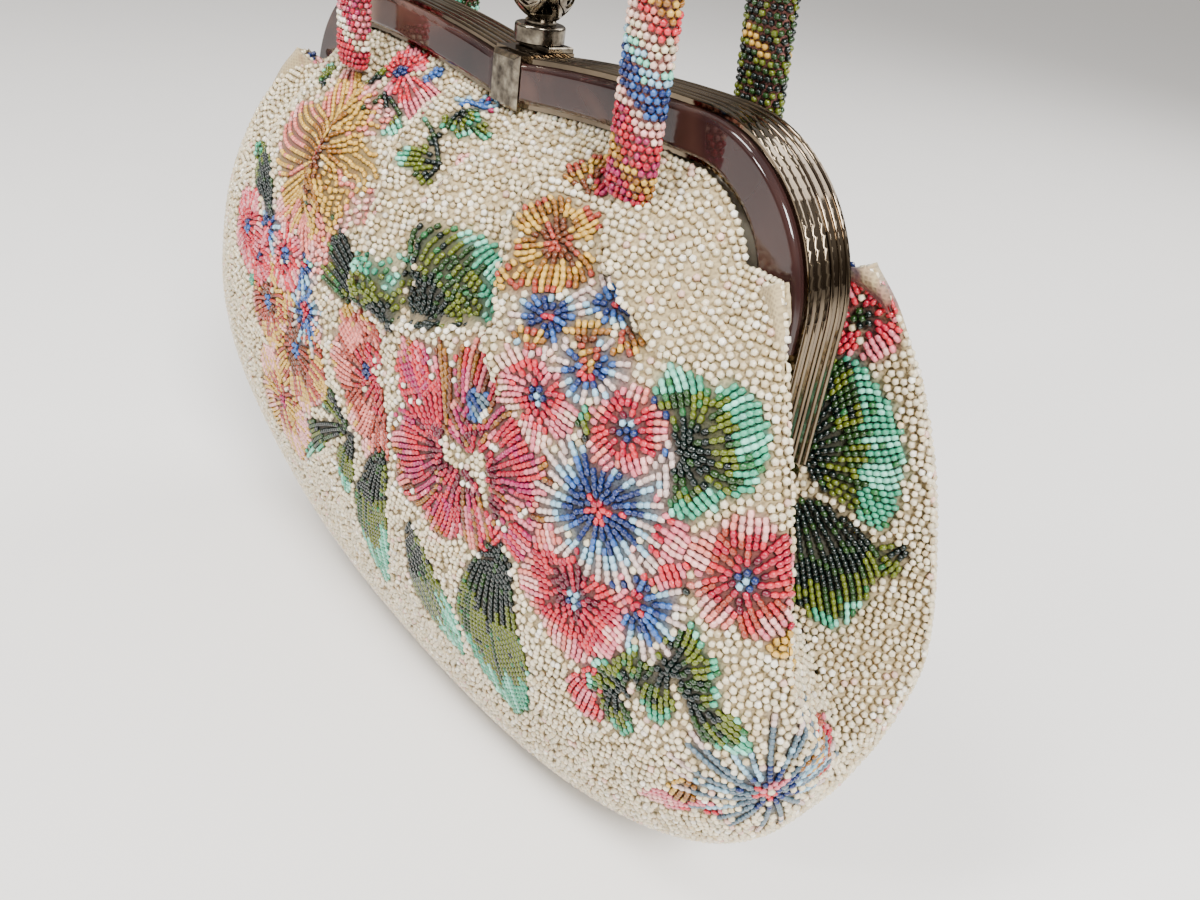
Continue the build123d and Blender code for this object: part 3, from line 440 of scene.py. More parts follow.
# Columns and rows of the sheets' grids; the front cloth is seen closest
CLOTH_GRID = {-1: (181, 81), 1: (121, 65)}
LINING_GRID = (73, 41)
# Thickness of the sheets in mm, and the lining's distance from the cloth at its top and below it
CLOTH_THICKNESS = 0.7
LINING_THICKNESS = 0.4
LINING_ROOM_TOP = 2.6
LINING_ROOM = 6.0

GLASS = "lined and pearl coated seed bead glass"
# Distances between beads in mm: along and between the ground's rows, then the patterns' strings
BEAD_PITCH = 1.64
ROW_SPACING = 1.46
STRING_PITCH = 1.46
STRING_SPACING = 1.50
# Random places tried for the beads that fill the gaps between the rows
SPARE_BEADS = 90000
# How near two beads may come in mm, on the patterns and on the ground
STRING_REACH = 1.2
GROUND_REACH = 1.36
ROOM_CELL = 1.5
GROUND_SIZE = 1.07
# A string bead's length and radius, as shares of the bead radius
BARREL_LENGTH = 1.74
BARREL_RADIUS = 0.86
# How much larger than in the table flowers and spokes are drawn
FLOWER_GROWTH = 1.18
SPOKE_GROWTH = 1.32
# How deep in mm the beads sit in the surface and the cloth lies under it, there and by the folds
BEAD_SUNK = 0.30
CLOTH_SUNK = 0.55
EDGE_SUNK = 0.35
# Lowest height of beads and cloth over the floor in mm
BEAD_FLOOR = 0.02
CLOTH_FLOOR = 0.4


def petal_rows(length, width, point=0.3, start=0.0, bow=0.0):
    """Rows along a petal or leaf, as (places, share along it, side share), middle row first."""
    count = max(1, int(round(width / STRING_SPACING)))
    offsets = sorted((k - (count - 1) / 2 for k in range(count)), key=abs)
    rows = []
    for k in offsets:
        edge = abs(k) / max(1.0, (count - 1) / 2)
        last = 1 - point * edge ** 2
        t = np.arange(start + 0.06 * edge, last + 1e-6, STRING_PITCH / length)
        if not len(t):
            continue
        spread = 0.18 + 0.82 * np.sin(np.clip(t * 1.15, 0, 1) * math.pi / 2) ** 0.9
        closing = 1 - 0.25 * np.clip((t - 0.7) / 0.3, 0, 1) ** 2
        b = k * STRING_SPACING * spread * closing + bow * np.sin(t * math.pi)
        rows.append((np.stack([t * length, b], 1), t, k / max(1.0, (count - 1) / 2)))
    return rows


def turned(places, way):
    """Places with their first axis turned to the direction way."""
    return np.stack([places[:, 0] * way[0] - places[:, 1] * way[1],
                     places[:, 0] * way[1] + places[:, 1] * way[0]], 1)


class Pattern:
    """Beads of the flowers and leaves, kept as places before they are laid on the cloth."""

    def __init__(self, seed):
        self.random = np.random.default_rng(seed)
        self.start, self.place, self.ahead, self.colour, self.strung = [], [], [], [], []

    def add_row(self, start, places, names):
        """Adds one row of beads, each looking along the row."""
        if len(places) > 1:
            ahead = np.gradient(places, axis=0)
            ahead /= np.linalg.norm(ahead, axis=1, keepdims=True) + 1e-9
        else:
            ahead = np.array([[1.0, 0.0]])
        self.start += [start] * len(places)
        self.place.append(places)
        self.ahead.append(ahead)
        self.colour += names
        self.strung += [len(places) > 1] * len(places)

    def pick(self, words):
        """One of the named colours."""
        names = words.split()
        return names[int(self.random.integers(len(names)))]

    def banded(self, style, shares):
        """Colours along a row, with the ends of the bands a little uneven."""
        shift = self.random.normal(0, 0.05)
        names, words, kept = [], None, None
        for t in shares:
            here = next(w for limit, w in BANDS[style] if t + shift < limit or limit > 1)
            if here != words:
                words, kept = here, self.pick(here)
            names.append(self.pick(here) if self.random.random() < 0.14 else kept)
        return names

    def petal(self, style, start, way, length, width, begin=0.0):
        """A petal of rows that spread from its foot."""
        for i, (places, shares, _) in enumerate(petal_rows(length, width, start=begin)):
            names = self.banded(style, shares)
            if style == "peony_stripe" and i % 3 == 1:
                names = [self.pick("amber brown") for _ in shares]
            self.add_row(start, turned(places, way), names)

    def leaf(self, style, start, way, length, width):
        """A leaf: dark at its foot, olive in the middle, sea green along the edge."""
        dark, olive, side = LEAVES[style]
        bow = 0.06 * length * (1 if side >= 0 else -1)
        for places, shares, edge in petal_rows(length, width, point=0.42, bow=bow):
            shift = self.random.normal(0, 0.045) + 0.22 * side * edge - 0.16 * edge * edge
            names, kept = [], [self.pick("moss olive olive"), self.pick("teal teal aqua")]
            for t in shares:
                stray = self.random.random() < 0.16
                if t < dark + shift:
                    names.append("moss" if stray else "forest")
                elif t < olive + shift * 0.8:
                    names.append(self.pick("leaf forest olive") if stray else kept[0])
                else:
                    names.append(self.pick("teal leaf aqua") if stray else kept[1])
            self.add_row(start, turned(places, way), names)

    def flower(self, style, start, radius, count, first):
        """Petals round a small heart of beads."""
        heart = HEARTS.get(style, "navy")
        radius = radius * FLOWER_GROWTH
        core = min(2.0, radius * 0.24)
        for ring, number in ((0.0, 1), (core * 0.8, 5)):
            for k in range(number):
                angle = 2 * math.pi * k / max(number, 1)
                spot = np.array([[ring * math.cos(angle), ring * math.sin(angle)]])
                self.add_row(start, spot, [self.pick(heart)])
        width = 2 * radius * math.sin(math.pi / count) * 0.95
        for k in range(count):
            angle = math.radians(first) + 2 * math.pi * k / count
            length = radius * self.random.uniform(0.9, 1.08)
            self.petal(style, start, (math.cos(angle), math.sin(angle)), length, width, core / radius)

    def daisy(self, style, start, across, down, count):
        """Broad petals round a heart, longer across the cloth than down it."""
        for k in range(count):
            angle = 2 * math.pi * (k + 0.3) / count
            way = (math.cos(angle), math.sin(angle))
            length = 1 / math.hypot(way[0] / across, way[1] / down)
            self.petal(style, start, way, length, 10.0 + 0.14 * length, 0.15)

    def disc(self, style, start, radius):
        """Rings of beads that fill a round heart."""
        for ring in np.arange(1.4, radius, ROW_SPACING):
            number = int(2 * math.pi * ring / BEAD_PITCH)
            angles = np.arange(number) * 2 * math.pi / number
            places = np.stack([ring * np.cos(angles), ring * np.sin(angles)], 1)
            self.add_row(start, places, self.banded(style, np.full(number, ring / radius)))

    def spokes(self, style, start, radius, count):
        """Single rows that run out from a heart, with the ground between their ends."""
        radius = radius * SPOKE_GROWTH
        for k in range(count):
            angle = 2 * math.pi * k / count + self.random.normal(0, 0.04)
            length = radius * self.random.uniform(0.84, 1.08)
            t = np.arange(0.08, 1.0, STRING_PITCH / length)
            swing = angle + 0.12 * t
            places = np.stack([t * length * np.cos(swing), t * length * np.sin(swing)], 1)
            self.add_row(start, places, self.banded(style, t))

    def spot(self, style, start, radius):
        """A small knot of beads of one colour."""
        self.add_row(start, np.zeros((1, 2)), [style])
        for ring in np.arange(1.5, radius + 0.1, 1.5):
            number = max(5, int(2 * math.pi * ring / BEAD_PITCH))
            angles = np.arange(number) * 2 * math.pi / number
            places = np.stack([ring * np.cos(angles), ring * np.sin(angles)], 1)
            self.add_row(start, places, [style] * number)

    def draw(self, table, side):
        """Draws a table of patterns for one cloth half."""
        for kind, style, place, *sizes in table:
            if kind in ("petal", "leaf"):
                tip, length, width = sizes
                way = direction_between(place, tip, side)
                getattr(self, kind)(style, place, way, max(length, 3.0), width)
            elif kind == "beads":
                for start in place:
                    self.add_row(start, np.zeros((1, 2)), [style])
            else:
                getattr(self, kind)(style, place, *sizes)

    def laid(self, side):
        """Cloth places u, v of the beads and of points just ahead of them."""
        start = np.array(self.start, float)
        place = np.concatenate(self.place)
        ahead = place + 0.5 * np.concatenate(self.ahead)
        u, v = walk(start[:, 0], start[:, 1], place[:, 0], place[:, 1], side)
        u_on, v_on = walk(start[:, 0], start[:, 1], ahead[:, 0], ahead[:, 1], side)
        return u, v, u_on, v_on


def ground_rows(side, random):
    """Places of the plain beads, in rows across the cloth."""
    v = np.linspace(0, 1, 400)
    lengths = []
    for u in (-0.5, -0.2, 0.0, 0.2, 0.35, 0.6, 0.8):
        line = cloth_place(np.full(400, u), v, side)
        steps = np.linalg.norm(np.diff(line, axis=0), axis=1)
        lengths.append(np.concatenate([[0], steps.cumsum()]))
    average = np.mean(lengths, axis=0)
    longest = max(line[-1] for line in lengths)
    count = int(longest / ROW_SPACING)
    us, vs = [], []
    fine = np.linspace(-1, 1, 1601)
    for row in np.interp((np.arange(count) + 0.5) / count * average[-1], average, v):
        line = cloth_place(fine, np.full(1601, row), side)
        along = np.concatenate([[0], np.linalg.norm(np.diff(line, axis=0), axis=1).cumsum()])
        marks = np.arange(random.uniform(0.3, 1.6), along[-1], BEAD_PITCH)
        marks = marks + random.normal(0, 0.14, len(marks))
        us.append(np.interp(marks, along, fine))
        vs.append(row + random.normal(0, 0.16 / longest, len(marks)))
    return np.concatenate(us), np.clip(np.concatenate(vs), 0.002, 0.998)


def mirrored(table):
    """The same patterns with left and right changed over, for the rear half."""
    result = []
    for kind, style, place, *sizes in table:
        if kind == "beads":
            result.append((kind, style, [(-u, v) for u, v in place]))
        elif kind in ("petal", "leaf"):
            tip = (-sizes[0][0], sizes[0][1])
            result.append((kind, style, (-place[0], place[1]), tip, *sizes[1:]))
        else:
            result.append((kind, style, (-place[0], place[1]), *sizes))
    return result


class Room:
    """Keeps the places already taken, so that no two beads sit in each other."""

    def __init__(self):
        self.taken = {}

    def take(self, point, reach):
        """Takes a place and says yes, unless a bead is nearer than reach."""
        cx, cy, cz = (int(c // ROOM_CELL) for c in point)
        near = reach * reach
        for i in (cx - 1, cx, cx + 1):
            for j in (cy - 1, cy, cy + 1):
                for k in (cz - 1, cz, cz + 1):
                    for q in self.taken.get((i, j, k), ()):
                        dx, dy, dz = q[0] - point[0], q[1] - point[1], q[2] - point[2]
                        if dx * dx + dy * dy + dz * dz < near:
                            return False
        self.taken.setdefault((cx, cy, cz), []).append(point)
        return True


def beads_of_half(side, table, seed):
    """All beads of a cloth half: places, normals, row directions, colours, sizes and whether strung."""
    pattern = Pattern(seed)
    pattern.draw(table, side)
    u, v, u_on, v_on = pattern.laid(side)
    inside = (np.abs(u) <= 1) & (v >= 0.0) & (v <= 1)
    place = cloth_place(np.clip(u, -1, 1), np.clip(v, 0, 1), side)
    ahead = cloth_place(np.clip(u_on, -1, 1), np.clip(v_on, 0, 1), side) - place
    normal = cloth_slopes(np.clip(u, -1, 1), np.clip(v, 0, 1), side)[2]
    rooms = (Room(), Room())
    beyond = np.abs(u) > FACE_SHARE
    keep = [i for i in range(len(u)) if inside[i] and rooms[beyond[i]].take(tuple(place[i]), STRING_REACH)]
    colour = [pattern.colour[i] for i in keep]
    size = np.ones(len(keep))
    strung = [pattern.strung[i] for i in keep]
    result = [place[keep], normal[keep], ahead[keep]]
    random = np.random.default_rng(seed + 1)
    u, v = ground_rows(side, random)
    spare_u, spare_v = random.uniform(-1, 1, SPARE_BEADS), random.uniform(0, 1, SPARE_BEADS)
    u, v = np.concatenate([u, spare_u]), np.concatenate([v, spare_v])
    place = cloth_place(u, v, side)
    across, _, normal = cloth_slopes(u, v, side)
    beyond = np.abs(u) > FACE_SHARE
    keep = [i for i in range(len(u)) if rooms[beyond[i]].take(tuple(place[i]), GROUND_REACH)]
    colour += [pattern_ground(random) for _ in keep]
    size = np.concatenate([size, random.normal(GROUND_SIZE, 0.04, len(keep))])
    strung += [False] * len(keep)
    result = [np.concatenate([a, b[keep]]) for a, b in zip(result, (place, normal, across))]
    return (*result, colour, size, np.array(strung))


def pattern_ground(random):
    """Colour of one plain bead."""
    pick = random.random()
    return "ivory" if pick < 0.72 else ("cream" if pick < 0.9 else ("white" if pick < 0.97 else "blush"))


def clear_selection():
    """Leaves nothing selected, because an operator acts on all that is."""
    bpy.ops.object.select_all(action="DESELECT")


def link_piece(name, mesh):
    """Links a new object with this mesh, and leaves it selected alone for the operators."""
    piece = bpy.data.objects.new(name, mesh)
    bpy.context.scene.collection.objects.link(piece)
    clear_selection()
    piece.select_set(True)
    bpy.context.view_layer.objects.active = piece
    return piece


def turn_outwards():
    """Turns the faces of the selected object outwards."""
    bpy.ops.object.mode_set(mode="EDIT")
    bpy.ops.mesh.select_all(action="SELECT")
    bpy.ops.mesh.normals_make_consistent(inside=False)
    bpy.ops.object.mode_set(mode="OBJECT")


def make_bead(radius):
    """Glass bead: a rounded dome of a few faces with a closed underside, modelled once."""
    clear_selection()
    bpy.ops.mesh.primitive_uv_sphere_add(segments=5, ring_count=4, radius=radius)
    bead = bpy.context.object
    bpy.ops.object.mode_set(mode="EDIT")
    bpy.ops.mesh.select_all(action="SELECT")
    bpy.ops.mesh.bisect(plane_co=(0, 0, -0.05 * radius), plane_no=(0, 0, 1), clear_inner=True, use_fill=True)
    bpy.ops.mesh.select_all(action="SELECT")
    bpy.ops.mesh.remove_doubles(threshold=0.12 * radius)
    bpy.ops.mesh.quads_convert_to_tris()
    bpy.ops.mesh.normals_make_consistent(inside=False)
    bpy.ops.object.mode_set(mode="OBJECT")
    return bead


def make_barrel(length, radius):
    """String bead: the upper half of a barrel that lies along its row, closed below, modelled once."""
    rings = ((-0.5, 0.70), (0.0, 1.0), (0.5, 0.70))
    turns = np.radians((0, 60, 120, 180))
    corners = [(x * length, -math.cos(t) * radius * r, (math.sin(t) * r - 0.05) * radius)
               for x, r in rings for t in turns]
    faces = []
    for k in range(2):
        for j in range(4):
            a, b = 4 * k + j, 4 * k + (j + 1) % 4
            faces += [(a, b, b + 4), (a, b + 4, a + 4)]
    faces += [(0, 3, 2), (0, 2, 1), (8, 9, 10), (8, 10, 11)]
    mesh = bpy.data.meshes.new("string bead")
    mesh.from_pydata(corners, [], faces)
    bead = link_piece("string bead", mesh)
    turn_outwards()
    return bead


def copy_beads(name, beads, place, normal, ahead, colour, size, strung, random):
    """One piece from copies of the two beads, laid on the cloth with their rows' direction."""
    forward = ahead - normal * (ahead * normal).sum(1, keepdims=True)
    forward /= np.linalg.norm(forward, axis=1, keepdims=True) + 1e-12
    sideways = np.cross(normal, forward)
    count = len(place)
    scale = (size * random.uniform(0.96, 1.03, count))[:, None]
    tilt = random.normal(0, 0.07, (count, 2))
    up = normal + forward * tilt[:, :1] + sideways * tilt[:, 1:]
    up /= np.linalg.norm(up, axis=1, keepdims=True)
    table = {c: srgb(text)[:3] + (1.0 if c in PEARLS else 0.0,) for c, text in BEAD_COLOURS.items()}
    shades = np.array([table[c] for c in colour])
    lightness = np.exp(random.normal(0, 0.10, (count, 1)))
    shades[:, :3] = np.clip(shades[:, :3] * lightness, 0, 1)
    points, faces, paints, first = [], [], [], 0
    for bead, here in zip(beads, (np.nonzero(~strung)[0], np.nonzero(strung)[0])):
        shape = np.array([v.co for v in bead.data.vertices]) / MM
        pattern = np.array([list(p.vertices) for p in bead.data.polygons])
        corners = len(shape)
        spots = (shape[None, :, 0, None] * (forward * scale)[here][:, None, :]
                 + shape[None, :, 1, None] * (sideways * scale)[here][:, None, :]
                 + shape[None, :, 2, None] * (up * scale)[here][:, None, :])
        points.append((spots + (place - normal * BEAD_SUNK)[here][:, None, :]).reshape(-1, 3))
        begin = first + np.arange(len(here)) * corners
        faces.append((pattern[None] + begin[:, None, None]).reshape(-1, 3))
        paints.append(np.repeat(shades[here], corners, axis=0))
        first += len(here) * corners
    points, faces = np.concatenate(points), np.concatenate(faces)
    points[:, 2] = np.maximum(points[:, 2], BEAD_FLOOR)
    mesh = bpy.data.meshes.new(name)
    mesh.vertices.add(len(points))
    mesh.vertices.foreach_set("co", (points * MM).ravel())
    mesh.loops.add(faces.size)
    mesh.loops.foreach_set("vertex_index", faces.ravel())
    mesh.polygons.add(len(faces))
    mesh.polygons.foreach_set("loop_start", np.arange(len(faces)) * 3)
    mesh.update(calc_edges=True)
    paint = mesh.attributes.new("bead_colour", "FLOAT_COLOR", "POINT")
    paint.data.foreach_set("color", np.concatenate(paints).ravel())
    mesh.polygons.foreach_set("use_smooth", np.ones(len(faces), bool))
    mesh.validate()
    return link_piece(name, mesh)


def grid_sheet(name, places, thickness, side):
    """A sheet from a grid of places (columns, rows, 3), closed by Solidify."""
    columns, rows = places.shape[:2]
    index = np.arange(columns * rows).reshape(columns, rows)
    quads = np.stack([index[:-1, :-1], index[:-1, 1:], index[1:, 1:], index[1:, :-1]], -1).reshape(-1, 4)
    if side > 0:
        quads = quads[:, ::-1]
    mesh = bpy.data.meshes.new(name)
    mesh.from_pydata((places.reshape(-1, 3) * MM).tolist(), [], quads.tolist())
    width = mesh.uv_layers.new(name="cloth")
    u = np.linspace(0, 1, columns)[:, None].repeat(rows, 1).ravel()
    v = np.linspace(0, 1, rows)[None].repeat(columns, 0).ravel()
    corners = np.array([loop.vertex_index for loop in mesh.loops])
    width.data.foreach_set("uv", np.stack([u[corners], v[corners]], 1).ravel())
    piece = link_piece(name, mesh)
    solid = piece.modifiers.new("thickness", "SOLIDIFY")
    solid.thickness = thickness * MM
    solid.offset = -1
    bpy.ops.object.modifier_apply(modifier=solid.name)
    bpy.ops.object.shade_smooth()
    return piece


def cloth_sheet(name, side, columns, rows):
    """The ground cloth of one half, just under its beads."""
    u, v = np.meshgrid(np.linspace(-1, 1, columns), np.linspace(0, 1, rows), indexing="ij")
    place = cloth_place(u.ravel(), v.ravel(), side)
    normal = cloth_slopes(u.ravel(), v.ravel(), side)[2]
    sunk = CLOTH_SUNK + EDGE_SUNK * np.clip((np.abs(u.ravel()) - 0.68) / 0.1, 0, 1)
    place = place - normal * sunk[:, None]
    place[:, 2] = np.maximum(place[:, 2], CLOTH_FLOOR)
    return grid_sheet(name, place.reshape(columns, rows, 3), CLOTH_THICKNESS, side)


def paint_gap_shade_on_cloth(sheet, place, colour, thread):
    """Colours the ground cloth as its thread, with painted shade under the flowers and leaves: a dark tint of
    their beads' colours stands in for the shadow in the gaps between the beads.
    """
    tree = KDTree(len(place))
    for i, spot in enumerate(place):
        tree.insert(spot, i)
    tree.balance()
    ground = np.array(thread[:3])
    # painted shade: the motif beads' colours, cut to a quarter with a little thread, stand in for the shadow
    # in the gaps between the beads
    table = {c: np.array(srgb(text)[:3]) * 0.25 + ground * 0.06 for c, text in BEAD_COLOURS.items()}
    table.update({c: ground for c in PEARLS})
    shades = []
    for vertex in sheet.data.vertices:
        near = tree.find_n(vertex.co / MM, 3)
        shades.append([*np.mean([table[colour[i]] for _, i, _ in near], axis=0), 1.0])
    paint = sheet.data.attributes.new("cloth_colour_and_gap_shade", "FLOAT_COLOR", "POINT")
    paint.data.foreach_set("color", np.array(shades).ravel())


def lining_sheet(name, side, columns, rows):
    """Satin lining of one half, which hangs inside the side folds without following them."""
    u, v = np.meshgrid(np.linspace(-1, 1, columns), np.linspace(0, 1, rows), indexing="ij")
    u, v = u.ravel(), v.ravel()
    middle, valley = follow(CENTRE_LINE, v), follow(VALLEY_LINE, v)
    bottom = np.clip(v - 0.85, 0, None) / 0.15
    room = LINING_ROOM_TOP + LINING_ROOM * np.minimum(1.0, 5 * v)
    depth = np.minimum(-0.15, middle[:, 0] + room)
    middle_z = middle[:, 1] + room * bottom
    edge_x = valley[:, 0] - room
    edge_z = valley[:, 2] + room * bottom
    angle = math.pi / 2 * np.abs(u)
    g = 1 - np.clip(np.cos(angle), 0, 1) ** (2 / ROUNDNESS)
    x = edge_x * np.sin(angle) ** (2 / ROUNDNESS)
    soft = np.sin(x / 9.0 + 1.3 * np.sin(x / 23.0)) * 0.5 * np.clip(1.6 - 1.4 * v, 0, 1)
    y = depth + (-0.15 - depth) * g + soft * (1 - g)
    z = middle_z + (edge_z - middle_z) * g
    top = frame_edge_height(x) - (CENTRE_LINE[0][1] + (VALLEY_LINE[0][2] - CENTRE_LINE[0][1]) * g)
    z = z + top * (1 - v) ** 4
    place = np.stack([np.sign(u) * x, -side * y, z], 1)
    return grid_sheet(name, place.reshape(columns, rows, 3), LINING_THICKNESS, side)


# Colours of the handles from the foot up, as bands: where each ends in mm, and its colours
STRAP_BANDS = {
    "front_right": [(5, "red crimson magenta"), (9, "gold amber"), (16, "crimson red magenta"),
                    (19, "blush pink"), (25, "blue navy"), (28, "aqua sky"), (33, "ivory blush"),
                    (37, "coral red"), (44, "gold amber gold"), (47, "teal aqua"),
                    (60, "magenta crimson wine"), (64, "pink rose"), (76, "ivory white cream"),
                    (80, "blue sky"), (92, "crimson red magenta"), (97, "gold"),
                    (118, "ivory cream white")],
    "front_left": [(8, "red crimson"), (12, "ivory white"), (24, "magenta crimson rose"), (29, "white blush"),
                   (42, "red rose crimson"), (47, "gold amber"), (60, "ivory cream"), (72, "crimson magenta"),
                   (78, "aqua teal"), (118, "ivory cream white")],
    "rear_right": [(6, "ivory aqua"), (12, "aqua teal"), (26, "forest moss forest olive"),
                   (31, "olive gold moss"), (56, "forest forest moss olive"), (60, "teal moss"),
                   (84, "forest moss olive"), (90, "aqua teal"), (118, "ivory cream white")],
    "rear_left": [(14, "ivory cream"), (20, "aqua teal"), (30, "moss olive"), (58, "ivory white cream"),
                  (66, "rose pink"), (74, "crimson magenta"), (118, "ivory cream white")],
}
# Handles, in mm: heights of the feet and of the arch's centre, its radius, and the strap's section
STRAP_FOOT_Z = 160.4
STRAP_ARCH_Z = 242.0
STRAP_SPAN = 55.0
STRAP_WIDTH = 11.5
STRAP_DEPTH = 4.6
STRAP_CROWN = 0.35
# A strap narrows to this share of its depth at the feet, over this length in mm
STRAP_FOOT = 0.45
STRAP_TAPER = 5.0
# Each handle's distance from the bag's middle plane in mm, and its lean in degrees, by side
STRAP_PLACE = {-1: (16.4, 0.0), 1: (17.4, 5.5)}
# Core: rings and points round each, and how far it lies under the beads in mm
STRAP_GRID = (97, 20)
STRAP_CORE_SUNK = 0.45
# Beads on the handles: size, first ring, distances along and round in mm, and how uneven both are
STRAP_BEAD = 0.98
STRAP_FIRST_RING = 0.9
STRAP_PITCH = 1.47
STRAP_SPACING = 1.6
STRAP_UNEVEN = 0.09
STRAP_UNEVEN_TURN = 0.0022


def strap_frame(s):
    """Places and radial directions along a handle's middle line, s in mm from the right foot."""
    leg = STRAP_ARCH_Z - STRAP_FOOT_Z
    arc = math.pi * STRAP_SPAN
    angle = np.clip((s - leg) / STRAP_SPAN, 0, math.pi)
    x = STRAP_SPAN * np.cos(angle)
    down = np.clip(s - leg - arc, 0, None)
    z = np.minimum(s, leg) + STRAP_SPAN * np.sin(angle) - down
    radial = np.stack([np.cos(angle), np.zeros_like(s), np.sin(angle)], -1)
    ahead = np.stack([-np.sin(angle), np.zeros_like(s), np.cos(angle)], -1)
    return np.stack([x, np.zeros_like(s), z], -1), radial, ahead


def strap_length():
    """Length of a handle's middle line."""
    return 2 * (STRAP_ARCH_Z - STRAP_FOOT_Z) + math.pi * STRAP_SPAN


def strap_surface(s, girth, side, grow):
    """Places and normals on the padded strap; girth is 0 to 1 round its section."""
    total = strap_length()
    near_end = np.minimum(s, total - s)
    taper = STRAP_FOOT + (1 - STRAP_FOOT) * np.sin(np.clip(near_end / STRAP_TAPER, 0, 1) * math.pi / 2)
    radius = STRAP_DEPTH / 2 * taper + grow
    flat = STRAP_WIDTH / 2 - STRAP_DEPTH / 2
    way = 4 * flat + 2 * math.pi * (STRAP_DEPTH / 2)
    run = np.mod(girth, 1.0) * way
    half_turn = math.pi * STRAP_DEPTH / 2
    across = np.where(run < 2 * flat, -flat + run, np.where(run < 2 * flat + half_turn, flat,
                      np.where(run < 4 * flat + half_turn, flat - (run - 2 * flat - half_turn), -flat)))
    first = (run - 2 * flat) / (STRAP_DEPTH / 2)
    second = (run - 4 * flat - half_turn) / (STRAP_DEPTH / 2)
    turn = np.where(run < 2 * flat, 0.0, np.where(run < 2 * flat + half_turn, first,
                    np.where(run < 4 * flat + half_turn, math.pi, math.pi + second)))
    crown = STRAP_CROWN * np.cos(across / flat * math.pi / 2) * np.cos(turn)
    out_x, out_y = np.sin(turn), -np.cos(turn)
    middle, radial, _ = strap_frame(s)
    place = middle + radial * (across + out_x * radius)[:, None]
    place[:, 1] += out_y * radius - crown
    normal = radial * out_x[:, None]
    normal[:, 1] += out_y
    offset, lean = STRAP_PLACE[side]
    lean = math.radians(side * lean)
    spin = np.array([[1, 0, 0], [0, math.cos(lean), -math.sin(lean)], [0, math.sin(lean), math.cos(lean)]])
    if side > 0:
        place[:, 1] *= -1
        normal[:, 1] *= -1
    place = place @ spin.T + np.array([0, side * offset, STRAP_FOOT_Z])
    return place, normal @ spin.T


def strap_core(name, side):
    """The padded core of a handle, closed at both feet."""
    rings, round_ = STRAP_GRID
    s, girth = np.meshgrid(np.linspace(0, strap_length(), rings), np.arange(round_) / round_, indexing="ij")
    place, _ = strap_surface(s.ravel(), girth.ravel(), side, -STRAP_CORE_SUNK)
    index = np.arange(rings * round_).reshape(rings, round_)
    after = np.roll(index, -1, axis=1)
    quads = np.stack([index[:-1], after[:-1], after[1:], index[1:]], -1).reshape(-1, 4)
    mesh = bpy.data.meshes.new(name)
    ends = [index[0].tolist(), index[-1][::-1].tolist()]
    mesh.from_pydata((place * MM).tolist(), [], quads.tolist() + ends)
    piece = link_piece(name, mesh)
    turn_outwards()
    bpy.ops.object.shade_smooth()
    return piece


def strap_beads(side, random):
    """Beads round a handle, as places, normals, row directions, colours and sizes."""
    total = strap_length()
    rings = np.arange(STRAP_FIRST_RING, total - 0.8, STRAP_PITCH)
    girth_mm = 4 * (STRAP_WIDTH - STRAP_DEPTH) / 2 + math.pi * STRAP_DEPTH
    number = int(girth_mm / STRAP_SPACING)
    s = np.repeat(rings, number)
    odd = np.repeat(np.arange(len(rings)), number) % 2
    step = (np.tile(np.arange(number), len(rings)) + 0.5 * odd) / number
    s = s + random.normal(0, STRAP_UNEVEN, len(s))
    step = step + random.normal(0, STRAP_UNEVEN_TURN, len(s))
    place, normal = strap_surface(s, step, side, 0.0)
    further, _ = strap_surface(s, step + 0.01, side, 0.0)
    half = "front" if side < 0 else "rear"
    colours = []
    for t, g in zip(s, step):
        name = f"{half}_{'right' if t < total / 2 else 'left'}"
        slant = 1.0 if t < total / 2 else -1.0
        height = min(t, total - t)
        across = math.sin(2 * math.pi * (g - 0.12))
        mark = height + slant * 3.2 * across + random.normal(0, 0.5)
        words = next((w for limit, w in STRAP_BANDS[name] if mark < limit), "ivory cream ivory white")
        words = words.split()
        colours.append(words[int(random.integers(len(words)))])
    return place, normal, further - place, colours, random.normal(0.98, 0.04, len(s))


def feed(tree, node, **inputs):
    """Sets or links a node's sockets: a value, a socket, or a node, whose first output is taken.

    Sockets go by name, with underscores for spaces, or by number as in i0.
    """
    for name, value in inputs.items():
        place = int(name[1:]) if name[1:].isdigit() else name.replace("_", " ")
        socket = node.inputs[place]
        if isinstance(value, bpy.types.Node):
            value = value.outputs[0]
        if isinstance(value, bpy.types.NodeSocket):
            tree.links.new(value, socket)
        else:
            socket.default_value = value


def add_node(tree, kind, settings=None, **inputs):
    """Adds a node with its settings and links; stops are a ramp's places and sRGB hex colours."""
    node = tree.nodes.new(kind)
    settings = dict(settings or {})
    stops = settings.pop("stops", ())
    for name, value in settings.items():
        setattr(node, name, value)
    if stops:
        elements = node.color_ramp.elements
        while len(elements) < len(stops):
            elements.new(0.5)
        for element, (place, colour) in zip(elements, stops):
            element.position, element.color = place, srgb(colour)
    feed(tree, node, **inputs)
    return node


def new_material(name, **noises):
    """A material: itself, its tree, its shader, the place in metres and its noises by name.

    A noise is given by its scale, the values it runs between and its detail, 3 where left out.
    """
    material = bpy.data.materials.new(name)
    material.use_nodes = True
    tree = material.node_tree
    shader = next(n for n in tree.nodes if n.type == "BSDF_PRINCIPLED")
    place = add_node(tree, "ShaderNodeTexCoord").outputs["Object"]
    spread = {}
    for key, (scale, low, high, *detail) in noises.items():
        noise = add_node(tree, "ShaderNodeTexNoise", Vector=place, Scale=scale, Detail=(*detail, 3.0)[0])
        spread[key] = add_node(tree, "ShaderNodeMapRange", i0=noise, i1=0.3, i2=0.7, i3=low, i4=high)
    return material, tree, shader, place, spread


